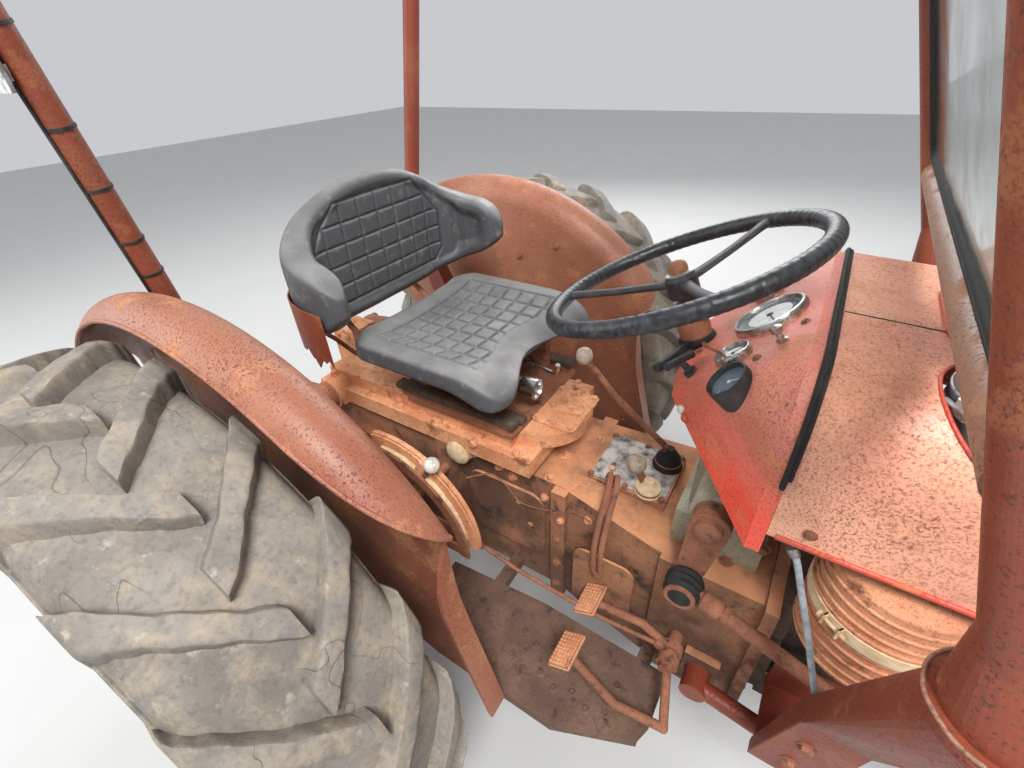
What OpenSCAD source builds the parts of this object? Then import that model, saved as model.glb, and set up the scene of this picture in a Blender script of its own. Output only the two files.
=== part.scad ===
// Vintage farm tractor with an open tube cab frame, bucket seat and rear three-point linkage.
// X points forward, Y to the driver's left and Z up. Lengths are millimetres.
// Every module works from the rear axle's station, and place() moves it to the part's own frame.

/* [Wheels] */
// Distance between the front and rear axles
wheelbase = 1830; // [1780:5:1900]
// Distance between the middles of the rear tyres
rear_track = 1384; // [1370:2:1440]
// Radius of a rear tyre over its lugs
rear_tyre_r = 620; // [616:1:624]
// Width of a rear tyre
rear_tyre_w = 300; // [280:2:306]
// Number of lugs on each side of a rear tyre
lug_count = 19; // [16:1:22]
// Height of a lug above the tread
lug_h = 32; // [24:1:36]
// Distance between the middles of the front tyres
front_track = 1300; // [1280:2:1340]
// Radius of a front tyre over its ribs
front_tyre_r = 365; // [360:1:368]
// Width of a front tyre
front_tyre_w = 160; // [140:2:166]

/* [Steering] */
// Radius of the steering wheel to the middle of its rim
wheel_r = 222; // [200:1:232]
// Thickness of the taped rim
wheel_rim_d = 29; // [24:1:34]
// Slope of the steering column from upright
column_tilt = 23.7; // [20:0.1:27]
// Length of the arms on the king pins
steer_arm = 110; // [100:1:118]
// Length of the drop arms
drop_arm = 150; // [140:1:160]

/* [Body] */
// Width of the bonnet
hood_w = 540; // [500:5:560]
// Height of the bonnet's top above the ground at the dash
hood_top = 1287; // [1270:1:1300]
// Depth of the bonnet's sides
hood_side = 240; // [200:5:260]
// Thickness of the bonnet's sheet
hood_wall = 4; // [3:0.5:6]
// Thickness of the fender sheet
fender_wall = 4; // [3:0.5:6]
// Outer radius of a fender's crown
fender_r = 662; // [655:1:675]

/* [Cab frame] */
// Diameter of the frame's tubes
tube_d = 45; // [42:1:54]
// Height of the frame over the ground
frame_top = 2030; // [1980:5:2080]
// Backward lean of the front posts
post_lean = 20.15; // [18:0.05:22]

/* [Seat] */
// Width of the seat cushion
seat_w = 450; // [420:5:480]
// Height of the cushion's top
seat_top = 1080; // [1070:2:1090]

/* [Hidden] */

fit = 0.3;             // gap between a part and its seat
run = 0.08;            // running clearance of a pin in its bore
skin = 0.05;           // inset of a plate inside the shell that it joins
fine = 48;             // facets of round parts
soft = 32;             // facets of hulled parts

// Stations along the tractor, from the rear axle
link_end_x = -800;
link_eye_r = 22;
front_end_x = wheelbase + front_tyre_r;
origin_x = (front_end_x + link_end_x - link_eye_r) / 2;
dash_rear_x = 752;
hood_rear_x = 940;
hood_front_x = 1960;
nose_x = 2150;
bell_x = [800, 1010];
engine_front_x = 1640;

// Transmission and lift cover
box_top = 780;
centre_top = 830;
cover_top = 905;
trumpet_y = 440;
sump_z = 400;

// Rear wheel
rim_r = 356;
rim_w = 254.6;
disc_y = 72;           // disc set in from the middle of the tyre
hub_r = 130;
stud_pcd = 203.2;
half_shaft_r = 38;

// Front wheel
front_rim_r = 203;
front_rim_w = 138.6;
king_y = front_track / 2 - 125;
king_r = 16;
king_z = [418, 640];
spindle_r = 18;

// Steering
column_top = [705, 0, 1280];
drop_x = 856;
drop_y = 225;
drop_z = 950;
arm_ball_z = 700;

function from_column(d) = column_top + d * [sin(column_tilt), 0, -cos(column_tilt)];

// Three-point linkage
lift_shaft = [-110, 0, 852];
lift_arm_l = 270;
lift_arm_drop = 5;    // degrees that the arms hang below level
link_pin = [40, 225, 385];
link_joint_x = -395;
link_drop = 2;

function link_z(x) = link_pin[2] + (x - link_pin[0]) * sin(link_drop) / cos(link_drop);
function lift_tip() = lift_shaft + lift_arm_l * [-cos(lift_arm_drop), 0, -sin(lift_arm_drop)];

module place() translate([-origin_x, 0, 0]) children();
module both_sides() { children(); mirror([0, 1, 0]) children(); }
module side(s) mirror([0, s > 0 ? 0 : 1, 0]) children();

// A round bar from a to b
module rod(a, b, r) {
    v = b - a;
    l = norm(v);
    translate(a) rotate([0, acos(v[2] / l), atan2(v[1], v[0])]) cylinder(h = l, r = r, $fn = fine);
}
// A bent bar through the points, with a slightly fuller bead at each bend
module bent_rod(p, r, bead = 1.04) {
    for (i = [0:len(p) - 2]) rod(p[i], p[i + 1], r);
    for (i = [1:len(p) - 2]) translate(p[i]) sphere(r * bead, $fn = fine);
}
// The same as a twelve-sided bar
module bent_bar(p, r) {
    for (i = [0:len(p) - 2]) {
        v = p[i + 1] - p[i];
        translate(p[i]) rotate([0, acos(v[2] / norm(v)), atan2(v[1], v[0])]) translate([0, 0, i > 0 ? -r * 0.3 : 0])
            cylinder(h = norm(v) + r * (i < len(p) - 2 ? 0.3 : 0), r = r, $fn = 12);
    }
}
module block(x, y, z) translate([x[0], y[0], z[0]]) cube([x[1] - x[0], y[1] - y[0], z[1] - z[0]]);
// A plate in the XZ plane, from y to y + t
module side_plate(points, y, t) translate([0, y + t, 0]) rotate([90, 0, 0]) linear_extrude(t) polygon(points);
// A closed body through rings that all have the same number of points
module loft(rings) {
    n = len(rings[0]);
    m = len(rings);
    polyhedron([for (q = rings) each q], concat(
        [for (k = [1:n - 2]) [0, k, k + 1]],
        [for (k = [1:n - 2]) [n * (m - 1), n * (m - 1) + k + 1, n * (m - 1) + k]],
        [for (i = [0:m - 2]) for (k = [0:n - 1]) each [
            [n * i + k, n * (i + 1) + k, n * (i + 1) + (k + 1) % n],
            [n * i + k, n * (i + 1) + (k + 1) % n, n * i + (k + 1) % n]]]));
}
module along_y(x, y, z, r) translate([x, y[0], z]) rotate([-90, 0, 0]) cylinder(h = y[1] - y[0], r = r, $fn = fine);
module along_x(x, y, z, r) translate([x[0], y, z]) rotate([0, 90, 0]) cylinder(h = x[1] - x[0], r = r, $fn = fine);

// Tyres and wheels: drawn about their own axis, +Z outboard
module ring_y(x, y, z) translate([x, y, z]) rotate([-90, 0, 0]) children();

// Tyre section, half width and radius pairs from bead to crown
function tyre_half(r0, r1, w) = [for (q = [[0.80, 0], [0.80, 0.11], [0.97, 0.28], [1, 0.48], [0.97, 0.70],
    [0.90, 0.88], [0.72, 0.955], [0.4, 0.99], [0, 1]]) [q[0] * w / 2, r0 + q[1] * (r1 - r0)]];
module tyre_ring(r0, r1, w) {
    h = tyre_half(r0, r1, w);
    n = len(h);
    rotate_extrude($fn = 96) polygon(concat([for (p = h) [p[1], p[0]]], [for (i = [n - 2:-1:0]) [h[i][1], -h[i][0]]]));
}
// One slanting lug from the middle of the tread over the shoulder, as a closed mesh of stations
module lug(s) {
    // share of half width across, radius of the top, turn in degrees, half thickness at foot and at top
    st = [[-0.12, 0, -2.4, 33, 24], [0.30, -2, 3.2, 31, 22], [0.70, -8, 9.4, 34, 25], [0.99, -34, 14.0, 42, 33]];
    foot = 18;
    function at(q, side, top) = let (r = rear_tyre_r + q[1] - (top ? 0 : lug_h + foot),
        a = side * (top ? q[4] : q[3]) / r * 180 / PI - q[2]) [r * cos(a), r * sin(a), s * q[0] * rear_tyre_w / 2];
    pts = [for (q = st) each [at(q, -1, false), at(q, 1, false), at(q, 1, true), at(q, -1, true)]];
    n = len(st);
    quads = concat([[0, 1, 2, 3]], [for (i = [0:n - 2]) for (k = [0:3]) [4 * i + k, 4 * i + 4 + k, 4 * i + 4 + (k + 1) % 4, 4 * i + (k + 1) % 4]],
        [[4 * n - 1, 4 * n - 2, 4 * n - 3, 4 * n - 4]]);
    tris = [for (q = quads) each [[q[0], q[1], q[2]], [q[0], q[2], q[3]]]];
    polyhedron(pts, s > 0 ? [for (t = tris) [t[2], t[1], t[0]]] : tris);
}
module rear_tyre() color("dimgray") {
    difference() {
        union() {
            tyre_ring(rim_r + fit, rear_tyre_r - lug_h, rear_tyre_w);
            for (i = [0:lug_count - 1]) {
                rotate([0, 0, 90 + i * 360 / lug_count]) lug(1);
                rotate([0, 0, 90 + (i + 0.5) * 360 / lug_count]) lug(-1);
            }
        }
    }
}
module rear_rim() color("gainsboro") {
    flange = 20;
    wall = 9;
    rotate_extrude($fn = 96) {
        translate([rim_r - wall, -rim_w / 2]) square([wall, rim_w]);
        for (m = [0, 1]) mirror([0, m]) translate([rim_r - wall, rim_w / 2 - 7]) square([flange + wall, 7]);
    }
    // dished centre, with a boss ring and its nuts
    rotate_extrude($fn = 96) polygon([[76, -disc_y], [165, -disc_y], [215, -disc_y + 48], [rim_r - wall + 2, -disc_y + 62],
        [rim_r - wall + 2, -disc_y + 54], [219, -disc_y + 40], [169, -disc_y - 8], [76, -disc_y - 8]]);
    difference() {
        union() {
            translate([0, 0, -disc_y - 34]) cylinder(h = 26.5, r = hub_r, $fn = 64);
            translate([0, 0, -disc_y - 34]) cylinder(h = 62, r = 74, $fn = 64);
        }
        translate([0, 0, -disc_y + 20]) cylinder(h = 20, r = 60, $fn = 64);
    }
    for (i = [0:7]) rotate([0, 0, i * 45 + 22.5]) translate([stud_pcd / 2, 0, -disc_y - 0.5]) {
        cylinder(h = 16, r = 15, $fn = 6);
        cylinder(h = 26, r = 8, $fn = fine);
    }
    translate([0, 0, -(rear_track / 2 - trumpet_y) + 12 - 40]) cylinder(h = rear_track / 2 - trumpet_y - disc_y - 30 + 28, r = half_shaft_r, $fn = fine);
}
module front_tyre() color("dimgray") {
    tyre_ring(front_rim_r + fit, front_tyre_r - 12, front_tyre_w);
    // three ribs round the tread
    rotate_extrude($fn = 96) for (k = [-1, 0, 1])
        translate([front_tyre_r - 26, k * 42 - 11]) square([k == 0 ? 26 : 22, 22]);
}
module front_rim() color("gainsboro") {
    wall = 6;
    rotate_extrude($fn = 72) {
        translate([front_rim_r - wall, -front_rim_w / 2]) square([wall, front_rim_w]);
        for (m = [0, 1]) mirror([0, m]) translate([front_rim_r - wall, front_rim_w / 2 - 5]) square([14 + wall, 5]);
    }
    rotate_extrude($fn = 72) polygon([[36, 8], [90, 8], [130, -22], [front_rim_r - wall + 2, -10], [front_rim_r - wall + 2, -4],
        [132, -15], [92, 15], [36, 15]]);
    difference() {
        union() {
            translate([0, 0, -42]) cylinder(h = 88, r = 44, $fn = fine);
            translate([0, 0, 46]) cylinder(h = 18, r1 = 38, r2 = 30, $fn = fine);
            translate([0, 0, -6]) cylinder(h = 13.5, r = 84, $fn = fine);
        }
        translate([0, 0, -43]) cylinder(h = 88, r = spindle_r + run, $fn = fine);
    }
    for (i = [0:5]) rotate([0, 0, i * 60]) translate([64, 0, 14.5]) cylinder(h = 12, r = 11, $fn = 6);
}

// Backbone
module transmission() color("sienna") {
    difference() {
        union() {
            block([-175, 250], [-150, 150], [365, centre_top]);
            block([249, 560], [-128, 128], [430, box_top + 20]);
            hull() {
                block([559, 600], [-128, 128], [430, box_top + 20]);
                block([bell_x[0] - 10, bell_x[0]], [-165, 165], [410, box_top]);
            }
            block([bell_x[0] - 1, bell_x[1]], [-178, 178], [sump_z, box_top]);
            // joint flanges
            block([232, 268], [-165, 165], [400, 840 - 12]);
            block([545, 580], [-150, 150], [420, box_top + 18]);
            block([bell_x[1] - 22, bell_x[1]], [-200, 200], [sump_z - 4, box_top + 12]);
            // gear lever cover
            block([590, 770], [-70, 95], [box_top - 10, box_top + 22]);
            // power take-off housing
            along_x([-215, -170], 0, 545, 62);
            // radius rod brackets
            both_sides() block([890, 960], [170, 196], [455, 545]);
        }
        // seat of the lift cover
        block([-200, 545], [-200, 200], [centre_top - 2, centre_top + 60]);
        along_y(lift_shaft[0], [-200, 200], lift_shaft[2], 42 + fit);
    }
    along_x([-330, -210], 0, 545, 17.5);
    along_x([-228, -214], 0, 545, 45);
    // drawbar frame under the housing
    difference() {
        block([-395, -140], [-40, 40], [366, 384]);
        translate([-365, 0, 360]) cylinder(h = 30, r = 14, $fn = fine);
    }
    block([-180, -60], [-120, 120], [355, 370]);
}
top_link_z = 930;
module lift_cover() color("peru") {
    z0 = centre_top - 2;
    difference() {
        union() {
            block([-172, 500], [-165, 165], [z0, z0 + 42]);
            block([-150, 440], [-140, 140], [z0 + 41, cover_top]);
            translate([440, 0, z0 + 41]) cylinder(h = cover_top - z0 - 41, r = 120, $fn = 64);
            // lift shaft bosses
            both_sides() along_y(lift_shaft[0], [130, 188], lift_shaft[2], 42);
            both_sides() block([lift_shaft[0] - 42, lift_shaft[0] + 42], [130, 180], [z0 + 1, lift_shaft[2]]);
            // top link bracket
            block([-235, -150], [-42, 42], [z0 + 2, top_link_z + 28]);
        }
        block([-240, -190], [-22, 22], [z0 - 1, top_link_z + 40]);
        along_y(-212, [-60, 60], top_link_z, 9.75);
        along_y(lift_shaft[0], [-200, 200], lift_shaft[2], 20 + run);
    }
}
module axle_housing() color("sienna") {
    difference() {
        union() {
            block([-110, 110], [150, 172], [rear_tyre_r - 130, rear_tyre_r + 130]);
            translate([0, 171, rear_tyre_r]) rotate([-90, 0, 0]) cylinder(h = trumpet_y - 171 - 22, r1 = 118, r2 = 72, $fn = 64);
            along_y(0, [trumpet_y - 24, trumpet_y - fit], rear_tyre_r, 98);
            along_y(0, [trumpet_y - 2, trumpet_y + 30], rear_tyre_r, 56);
            // pad under the frame's rear foot
            block([-62, 22], [298, 362], [rear_tyre_r, rear_tyre_r + 102]);
            // lower link bracket
            block([10, 70], [172, 200], [link_pin[2] - 28, rear_tyre_r - 60]);
        }
        along_y(0, [trumpet_y - 44, trumpet_y + 40], rear_tyre_r, half_shaft_r + run);
    }
    along_y(link_pin[0], [195, 248], link_pin[2], 11);
}
fan_x = 1712;
radiator_x = [1790, 1850];
module engine() color("gray") {
    difference() {
        union() {
            block([bell_x[1], 1600], [-125, 125], [560, 905]);
            block([bell_x[1], bell_x[1] + 26], [-165, 165], [500, 800]);
        }
        // room for the air cleaner's drum
        block([bell_x[1] - 1, 1222], [-166, -82], [790, 961]);
    }
    block([bell_x[1] + 20, 1590], [-145, 145], [548, 562]);
    block([bell_x[1] + 30, 1580], [-118, 118], [sump_z, 549]);
    // cylinder head and rocker cover
    block([1230, 1595], [-112, 112], [904, 975]);
    block([1060, 1240], [-70, 112], [904, 975]);
    block([1090, 1570], [-62, 62], [974, 1038]);
    along_x([1090, 1570], 0, 1026, 58);
    along_x([1300, 1330], 0, 1076, 30);
    // timing case, crank pulley, water pump and fan
    block([1599, engine_front_x], [-118, 118], [520, 940]);
    along_x([engine_front_x - 1, engine_front_x + 24], 0, 545, 72);
    along_x([engine_front_x - 1, fan_x - 14], 0, 900, 34);
    along_x([engine_front_x + 6, engine_front_x + 30], 0, 900, 64);
    along_x([fan_x - 15, fan_x + 12], 0, 900, 24);
    for (a = [0:90:270]) translate([fan_x, 0, 900]) rotate([a + 20, 0, 0]) rotate([0, 0, 24]) translate([-3, -34, 15]) cube([6, 68, 175]);
    // generator on the right, with its pulley
    along_x([1410, 1590], -182, 770, 56);
    along_x([1589, engine_front_x + 30], -182, 770, 14);
    along_x([engine_front_x + 8, engine_front_x + 30], -182, 770, 42);
    block([1440, 1480], [-150, -124], [730, 800]);
    block([1540, 1570], [-150, -124], [730, 800]);
    // oil filter and distributor
    translate([1330, -170, 590]) cylinder(h = 150, r = 42, $fn = fine);
    block([1310, 1350], [-150, -124], [680, 740]);
    translate([1262, -150, 770]) cylinder(h = 110, r = 24, $fn = fine);
    translate([1262, -150, 860]) cylinder(h = 62, r = 44, $fn = fine);
    block([1246, 1278], [-150, -124], [776, 806]);
    // inlet and exhaust manifold on the left, down to the silencer
    block([1120, 1560], [111, 150], [915, 955]);
    for (x = [1150, 1270, 1410, 1530]) block([x - 22, x + 22], [111, 172], [905, 945]);
    along_x([1150, 1530], 172, 925, 26);
    bent_rod([[1500, 172, 925], [1500, 212, 880], [1500, 212, 640], [1440, 212, 640]], 20, 1.1);
    along_x([1190, 1450], 212, 640, 44);
    bent_rod([[1200, 210, 640], [1166, 206, 640], [1166, 204, 450]], 18, 1.1);
    // carburettor
    block([1300, 1360], [149, 205], [868, 950]);
    translate([1330, 178, 800]) cylinder(h = 70, r = 30, $fn = fine);
}
module front_support() color("firebrick") {
    difference() {
        block([engine_front_x + 0.01, engine_front_x + 26], [-165, 165], [590, 700]);
        along_x([engine_front_x - 2, engine_front_x + 40], 0, 545, 76);
    }
    block([engine_front_x + 25, 2030], [-130, 130], [560, 620]);
    block([engine_front_x + 25, 2030], [-150, -128], [545, 635]);
    block([engine_front_x + 25, 2030], [128, 150], [545, 635]);
    block([1975, 2112], [-226, 226], [596, 609]);
    block([1990, 2028], [-120, 120], [520, 597]);
    for (x = [wheelbase - 75, wheelbase + 45]) {
        block([x, x + 30], [-60, 60], [490, 561]);
        along_x([x, x + 30], 0, 490, 52);
    }
    along_x([wheelbase - 84, wheelbase + 84], 0, 490, 20);
    // radiator with its tanks
    block(radiator_x, [-205, 205], [619, 690]);
    block([radiator_x[0] + 8, radiator_x[1] - 8], [-200, 200], [689, 1100]);
    block(radiator_x, [-205, 205], [1099, 1180]);
    translate([radiator_x[0] + 30, 0, 1179]) cylinder(h = 30, r = 34, $fn = fine);
    // hoses
    bent_rod([[1560, 60, 974 + fit], [1560, 60, 1120], [radiator_x[0] + 5, 60, 1140]], 22, 1.08);
}
module front_axle() color("firebrick") {
    difference() {
        union() {
            // centre beam with its pivot boss, outer arms stepping down to the king pin housings
            block([wheelbase - 32, wheelbase + 32], [-345, 345], [455, 525]);
            both_sides() hull() {
                block([wheelbase - 24, wheelbase + 24], [344, 350], [464, 516]);
                block([wheelbase - 24, wheelbase + 24], [king_y - 28, king_y - 20], [540, 600]);
            }
            both_sides() translate([wheelbase, king_y, king_z[0]]) cylinder(h = king_z[1] - king_z[0], r = 30, $fn = fine);
            along_x([wheelbase - 44, wheelbase + 44], 0, 490, 45);
        }
        along_x([wheelbase - 60, wheelbase + 60], 0, 490, 20 + run);
        both_sides() translate([wheelbase, king_y, king_z[0] - 5]) cylinder(h = king_z[1] - king_z[0] + 10, r = king_r + run, $fn = fine);
    }
}
module radius_rods() color("saddlebrown") both_sides() {
    rod([942, 226, 500], [wheelbase - 60, 300, 478], 18);
    block([wheelbase - 72, wheelbase - 32 - fit], [282, 318], [462, 498]);
    along_y(925, [196 + fit, 246], 500, 26);
}
module knuckle() {
    color("firebrick") {
        translate([wheelbase, king_y, king_z[0] - 40]) cylinder(h = king_z[1] - king_z[0] + 40 + 42, r = king_r, $fn = fine);
        block([wheelbase - 28, wheelbase + 28], [king_y - 30, king_y + 34], [front_tyre_r - 26, king_z[0] - 1]);
        along_y(wheelbase, [king_y + 30, front_track / 2 + 40], front_tyre_r, spindle_r);
        // steering arm
        difference() {
            hull() {
                translate([wheelbase, king_y, king_z[1] + 2]) cylinder(h = 32, r = 30, $fn = soft);
                translate([wheelbase, king_y - steer_arm, king_z[1] + 10]) cylinder(h = 20, r = 19, $fn = soft);
            }
        }
    }
}

// Steering
module steering_box() color("darkgray") {
    difference() {
        union() {
            block([800, 960], [-120, 120], [box_top + 0.5, 862]);
            block([815, 935], [-85, 85], [861, 985]);
            both_sides() along_y(drop_x + 14, [80, drop_y - 44], drop_z, 40);
            rod(from_column(330), from_column(70), 24);
        }
        rod(from_column(160), from_column(60), 12 + run);
    }
}
module steering_wheel() color("black") {
    translate(column_top) rotate([0, -column_tilt, 0]) {
        rotate_extrude($fn = 96) translate([wheel_r, 0]) circle(d = wheel_rim_d, $fn = 32);
        for (a = [60, 180, 300]) rotate([0, 0, a]) rod([20, 0, -22], [wheel_r - 4, 0, 0], 9.5);
        translate([0, 0, -45]) cylinder(h = 42, r = 27, $fn = fine);
        translate([0, 0, -140]) cylinder(h = 152, r = 12, $fn = fine);
        translate([0, 0, -5]) cylinder(h = 20, r1 = 24, r2 = 14, $fn = fine);
    }
}
module drop_arm() color("sienna") {
    hull() {
        along_y(drop_x + 14, [drop_y - 43, drop_y - 15], drop_z, 32);
        along_y(drop_x, [drop_y - 37, drop_y - 18], drop_z - drop_arm, 22);
    }
    along_y(drop_x, [drop_y - 20, drop_y + 24], drop_z - drop_arm, 10);
}
module drag_link() color("saddlebrown") {
    difference() {
        union() {
            along_y(drop_x, [drop_y - 16, drop_y + 30], drop_z - drop_arm, 27);
            rod([drop_x + 22, drop_y + 5, drop_z - drop_arm - 2], [wheelbase - 30, king_y - steer_arm, arm_ball_z], 12.5);
            translate([wheelbase, king_y - steer_arm, king_z[1] + 32.6]) cylinder(h = 35, r = 24, $fn = fine);
            rod([wheelbase - 60, king_y - steer_arm - 5, arm_ball_z + 1], [wheelbase, king_y - steer_arm, arm_ball_z - 8], 15);
        }
        along_y(drop_x, [drop_y - 25, drop_y + 25], drop_z - drop_arm, 10 + run);
    }
}

// Body panels
stack = [1115, -190];
flap_x = [1058, 1376];
flap_w = 206;
function hood_front_top() = hood_top - 30;
// Cross-section of the bonnet, a box with round shoulders
module hood_section(x, w, top, depth, r, t = 2) translate([x, 0, top]) rotate([90, 0, 90]) linear_extrude(t) {
    translate([-w / 2 + r, -r]) circle(r, $fn = fine);
    translate([w / 2 - r, -r]) circle(r, $fn = fine);
    translate([-w / 2, -depth]) square([w, depth - r]);
    translate([-w / 2 + r, -r]) square([w - 2 * r, r]);
}
function hood_z(x) = hood_top - 30 * (x - hood_rear_x) / (hood_front_x - hood_rear_x);
flap_hinge_z = hood_z(flap_x[1]) + 8;
module hood() color("indianred") {
    hood_shell();
    // ears of the flap's hinge
    both_sides() {
        along_y(flap_x[1], [40 + fit, 62], flap_hinge_z, 7);
        block([flap_x[1] - 5, flap_x[1] + 5], [40 + fit, 62], [flap_hinge_z - 11, flap_hinge_z]);
    }
}
module hood_shell() difference() {
    hull() {
        hood_section(hood_rear_x, hood_w, hood_top, hood_side, 95);
        hood_section(hood_front_x - 2, hood_w - 30, hood_front_top(), hood_side, 95);
    }
    hull() {
        hood_section(hood_rear_x - 3, hood_w - 2 * hood_wall, hood_top - hood_wall, hood_side, 91);
        hood_section(hood_front_x + 1, hood_w - 30 - 2 * hood_wall, hood_front_top() - hood_wall, hood_side, 91);
    }
    // opening under the filler flap, and the hole that the intake stack passes through
    block([flap_x[0] + 8, flap_x[1] - 22], [-95, 95], [1200, 1400]);
    translate([stack[0], stack[1], 1150]) cylinder(h = 200, r = 72, $fn = fine);
}
module filler_flap() color("indianred") {
    side_plate([for (q = [[flap_x[0], 0.6], [flap_x[1] - 14, 0.6], [flap_x[1] - 14, 8], [flap_x[0], 10]]) [q[0], hood_z(q[0]) + q[1]]],
        -flap_w / 2, flap_w);
    block([flap_x[1] - 15, flap_x[1] - 2], [-40, 40], [flap_hinge_z - 6, flap_hinge_z - 1]);
    along_y(flap_x[1], [-40, 40], flap_hinge_z, 7);
}
nose_z = 610;
module nose_body(g) hull() {
    hood_section(hood_front_x + fit, hood_w - 30 - 2 * g, hood_front_top() - g, hood_front_top() - nose_z, 95 - g);
    hood_section(nose_x - 90 - g, hood_w - 60 - 2 * g, hood_front_top() - 30 - g, hood_front_top() - 30 - nose_z, 90 - g);
    hood_section(nose_x - 14 - g, hood_w - 150 - 2 * g, hood_front_top() - 90 - g, hood_front_top() - 90 - nose_z - 20, 60);
}
module nose() color("indianred") {
    difference() {
        nose_body(0);
        difference() {
            translate([-1, 0, -1]) nose_body(5);
            block([nose_x - 17, nose_x + 10], [-300, 300], [500, 1300]);
        }
        block([hood_front_x - 5, nose_x - 40], [-220, 220], [nose_z - 30, nose_z + 20]);
        block([nose_x - 60, nose_x + 10], [-118, 118], [690, 1110]);
    }
    // grille
    for (z = [705:26:1100]) block([nose_x - 24, nose_x - 14], [-118.5, 118.5], [z, z + 7]);
    block([nose_x - 27, nose_x - 9], [-7, 7], [689, 1111]);
    block([nose_x - 22, nose_x - 4], [-128, -116], [682, 1118]);
    block([nose_x - 22, nose_x - 4], [116, 128], [682, 1118]);
    block([nose_x - 22, nose_x - 4], [-128, 128], [1108, 1118]);
    block([nose_x - 22, nose_x - 4], [-128, 128], [682, 692]);
}
module dash() color("firebrick") difference() {
    hull() {
        hood_section(hood_rear_x - 20, hood_w - 2, hood_top - 1, hood_side + 40, 95, 20 - fit);
        block([dash_rear_x, dash_rear_x + 30], [-105, 105], [1105, 1150]);
        block([dash_rear_x + 60, dash_rear_x + 90], [-60, 60], [1000, 1010]);
    }
    hull() {
        hood_section(hood_rear_x - 20, hood_w - 10, hood_top - 5, hood_side + 50, 91, 22);
        block([dash_rear_x + 5, dash_rear_x + 30], [-101, 101], [1100, 1144]);
        block([dash_rear_x + 66, dash_rear_x + 90], [-56, 56], [990, 1000]);
    }
    // hole for the steering column
    rod(from_column(40), from_column(300), 24 + fit);
}
// A fender's shell: the flat inner plate, then a round crown over the tyre
crown_a = [35, 141];
crown_k = 60;
module fender() color("indianred") translate([0, 440, 0]) difference() {
    union() {
        translate([0, 0, rear_tyre_r]) rotate([-90, 0, 0]) rotate([0, 0, -crown_a[1]]) rotate_extrude(angle = crown_a[1] - crown_a[0], $fn = 96)
            polygon(concat([[520, 0]], [for (a = [90:-10:-60]) [fender_r - crown_k + crown_k * cos(a), crown_k - crown_k * sin(a)]],
                [for (a = [-60:10:90]) [fender_r - crown_k + (crown_k - fender_wall) * cos(a), crown_k - (crown_k - fender_wall) * sin(a)]],
                [[520, fender_wall]]));
        side_plate(concat([for (a = [138:-7.5:40.5]) [560 * cos(a), rear_tyre_r + 560 * sin(a)]],
            [[470, 942], [496, 915], [503, 880], [508, 777], [588, 470], [420, 470], [150, 545], [-150, 545], [-330, 700]]), skin, fender_wall - 2 * skin);
        // folded edge that runs down to the footplate
        side_plate([[504, 780], [511, 780], [592, 469], [584, 469]], 1, 50);
    }
    along_y(0, [-20, 20], rear_tyre_r, 58);
}
module footplate() color("saddlebrown") {
    z = 466;
    difference() {
        union() {
            translate([0, 0, z]) linear_extrude(5) polygon([[300, 235], [300, 430], [590, 436], [700, 436], [860, 372], [872, 340], [872, 222], [560, 215]]);
            translate([0, 0, z - 24]) linear_extrude(25) polygon([[300, 425], [300, 430], [590, 436], [700, 436], [860, 372], [857, 368], [700, 431], [590, 431]]);
        }
        for (i = [0:6]) for (j = [0:1]) translate([560 + i * 38, 300 + j * 60 + (i % 2) * 14, z - 1]) cylinder(h = 10, r = 6, $fn = 24);
    }
    block([420, 450], [128, 420], [z - 30, z - fit]);
    block([802, 832], [178, 380], [z - 30, z - fit]);
}

// Controls
module pedals() color("saddlebrown") {
    x = 866;
    z = 560;
    both_sides() along_y(x, [178, 262], z, 14);
    // right side: two brake pedals on one pivot
    along_y(x, [-222, -204], z, 22);
    along_y(x, [-250, -232], z, 22);
    bent_rod([[x, -213, z], [800, -215, 600], [688, -222, 598]], 9);
    bent_rod([[x, -241, z - 4], [896, -345, 522], [800, -352, 515], [692, -348, 598]], 9);
    for (p = [[684, -222, 602], [690, -346, 602]]) translate(p) rotate([0, -28, 0]) cube([48, 76, 10], center = true);
    // left side: clutch pedal
    along_y(x, [225, 245], z, 22);
    bent_rod([[x, 235, z], [800, 240, 600], [688, 250, 598]], 9);
    translate([684, 250, 602]) rotate([0, -28, 0]) cube([48, 76, 10], center = true);
}
module levers() color("darkslategray") {
    z = box_top + 22 + fit;
    translate([738, 48, z]) cylinder(h = 20, r = 30, $fn = fine);
    bent_bar([[734, 45, z + 9], [728, 44, 860], [600, 48, 950], [524, 50, 1026]], 7);
    translate([520, 50, 1030]) sphere(17, $fn = fine);
    translate([727, -50, z]) cylinder(h = 14, r = 26, $fn = fine);
    rod([723, -48, z + 7], [695, -46, 862], 8);
    translate([694, -46, 866]) sphere(19, $fn = fine);
}
quad_c = [255, -300, 745];
module quadrant_plate(y) translate([quad_c[0], y + 6, quad_c[2]]) rotate([90, 0, 0]) linear_extrude(6) {
    intersection() {
        difference() {
            circle(r = 204, $fn = 96);
            circle(r = 180, $fn = 96);
        }
        polygon([[0, 0], [260, -20], [260, 260], [-100, 260]]);
    }
    polygon([[-18, -18], [196, -10], [196, 12], [18, 18], [-30, 196], [-52, 190], [-18, 18]]);
}
module quadrant() color("darkorange") {
    along_y(quad_c[0], [-345, -165 - fit], quad_c[2], 12);
    quadrant_plate(-313);
    quadrant_plate(-345);
    rod([quad_c[0], -329, quad_c[2] + 6], [quad_c[0] + 128, -329, quad_c[2] + 205], 5);
    translate([quad_c[0] + 129, -329, quad_c[2] + 207]) sphere(14, $fn = fine);
    along_y(quad_c[0], [-338, -320], quad_c[2], 17);
}

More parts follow.
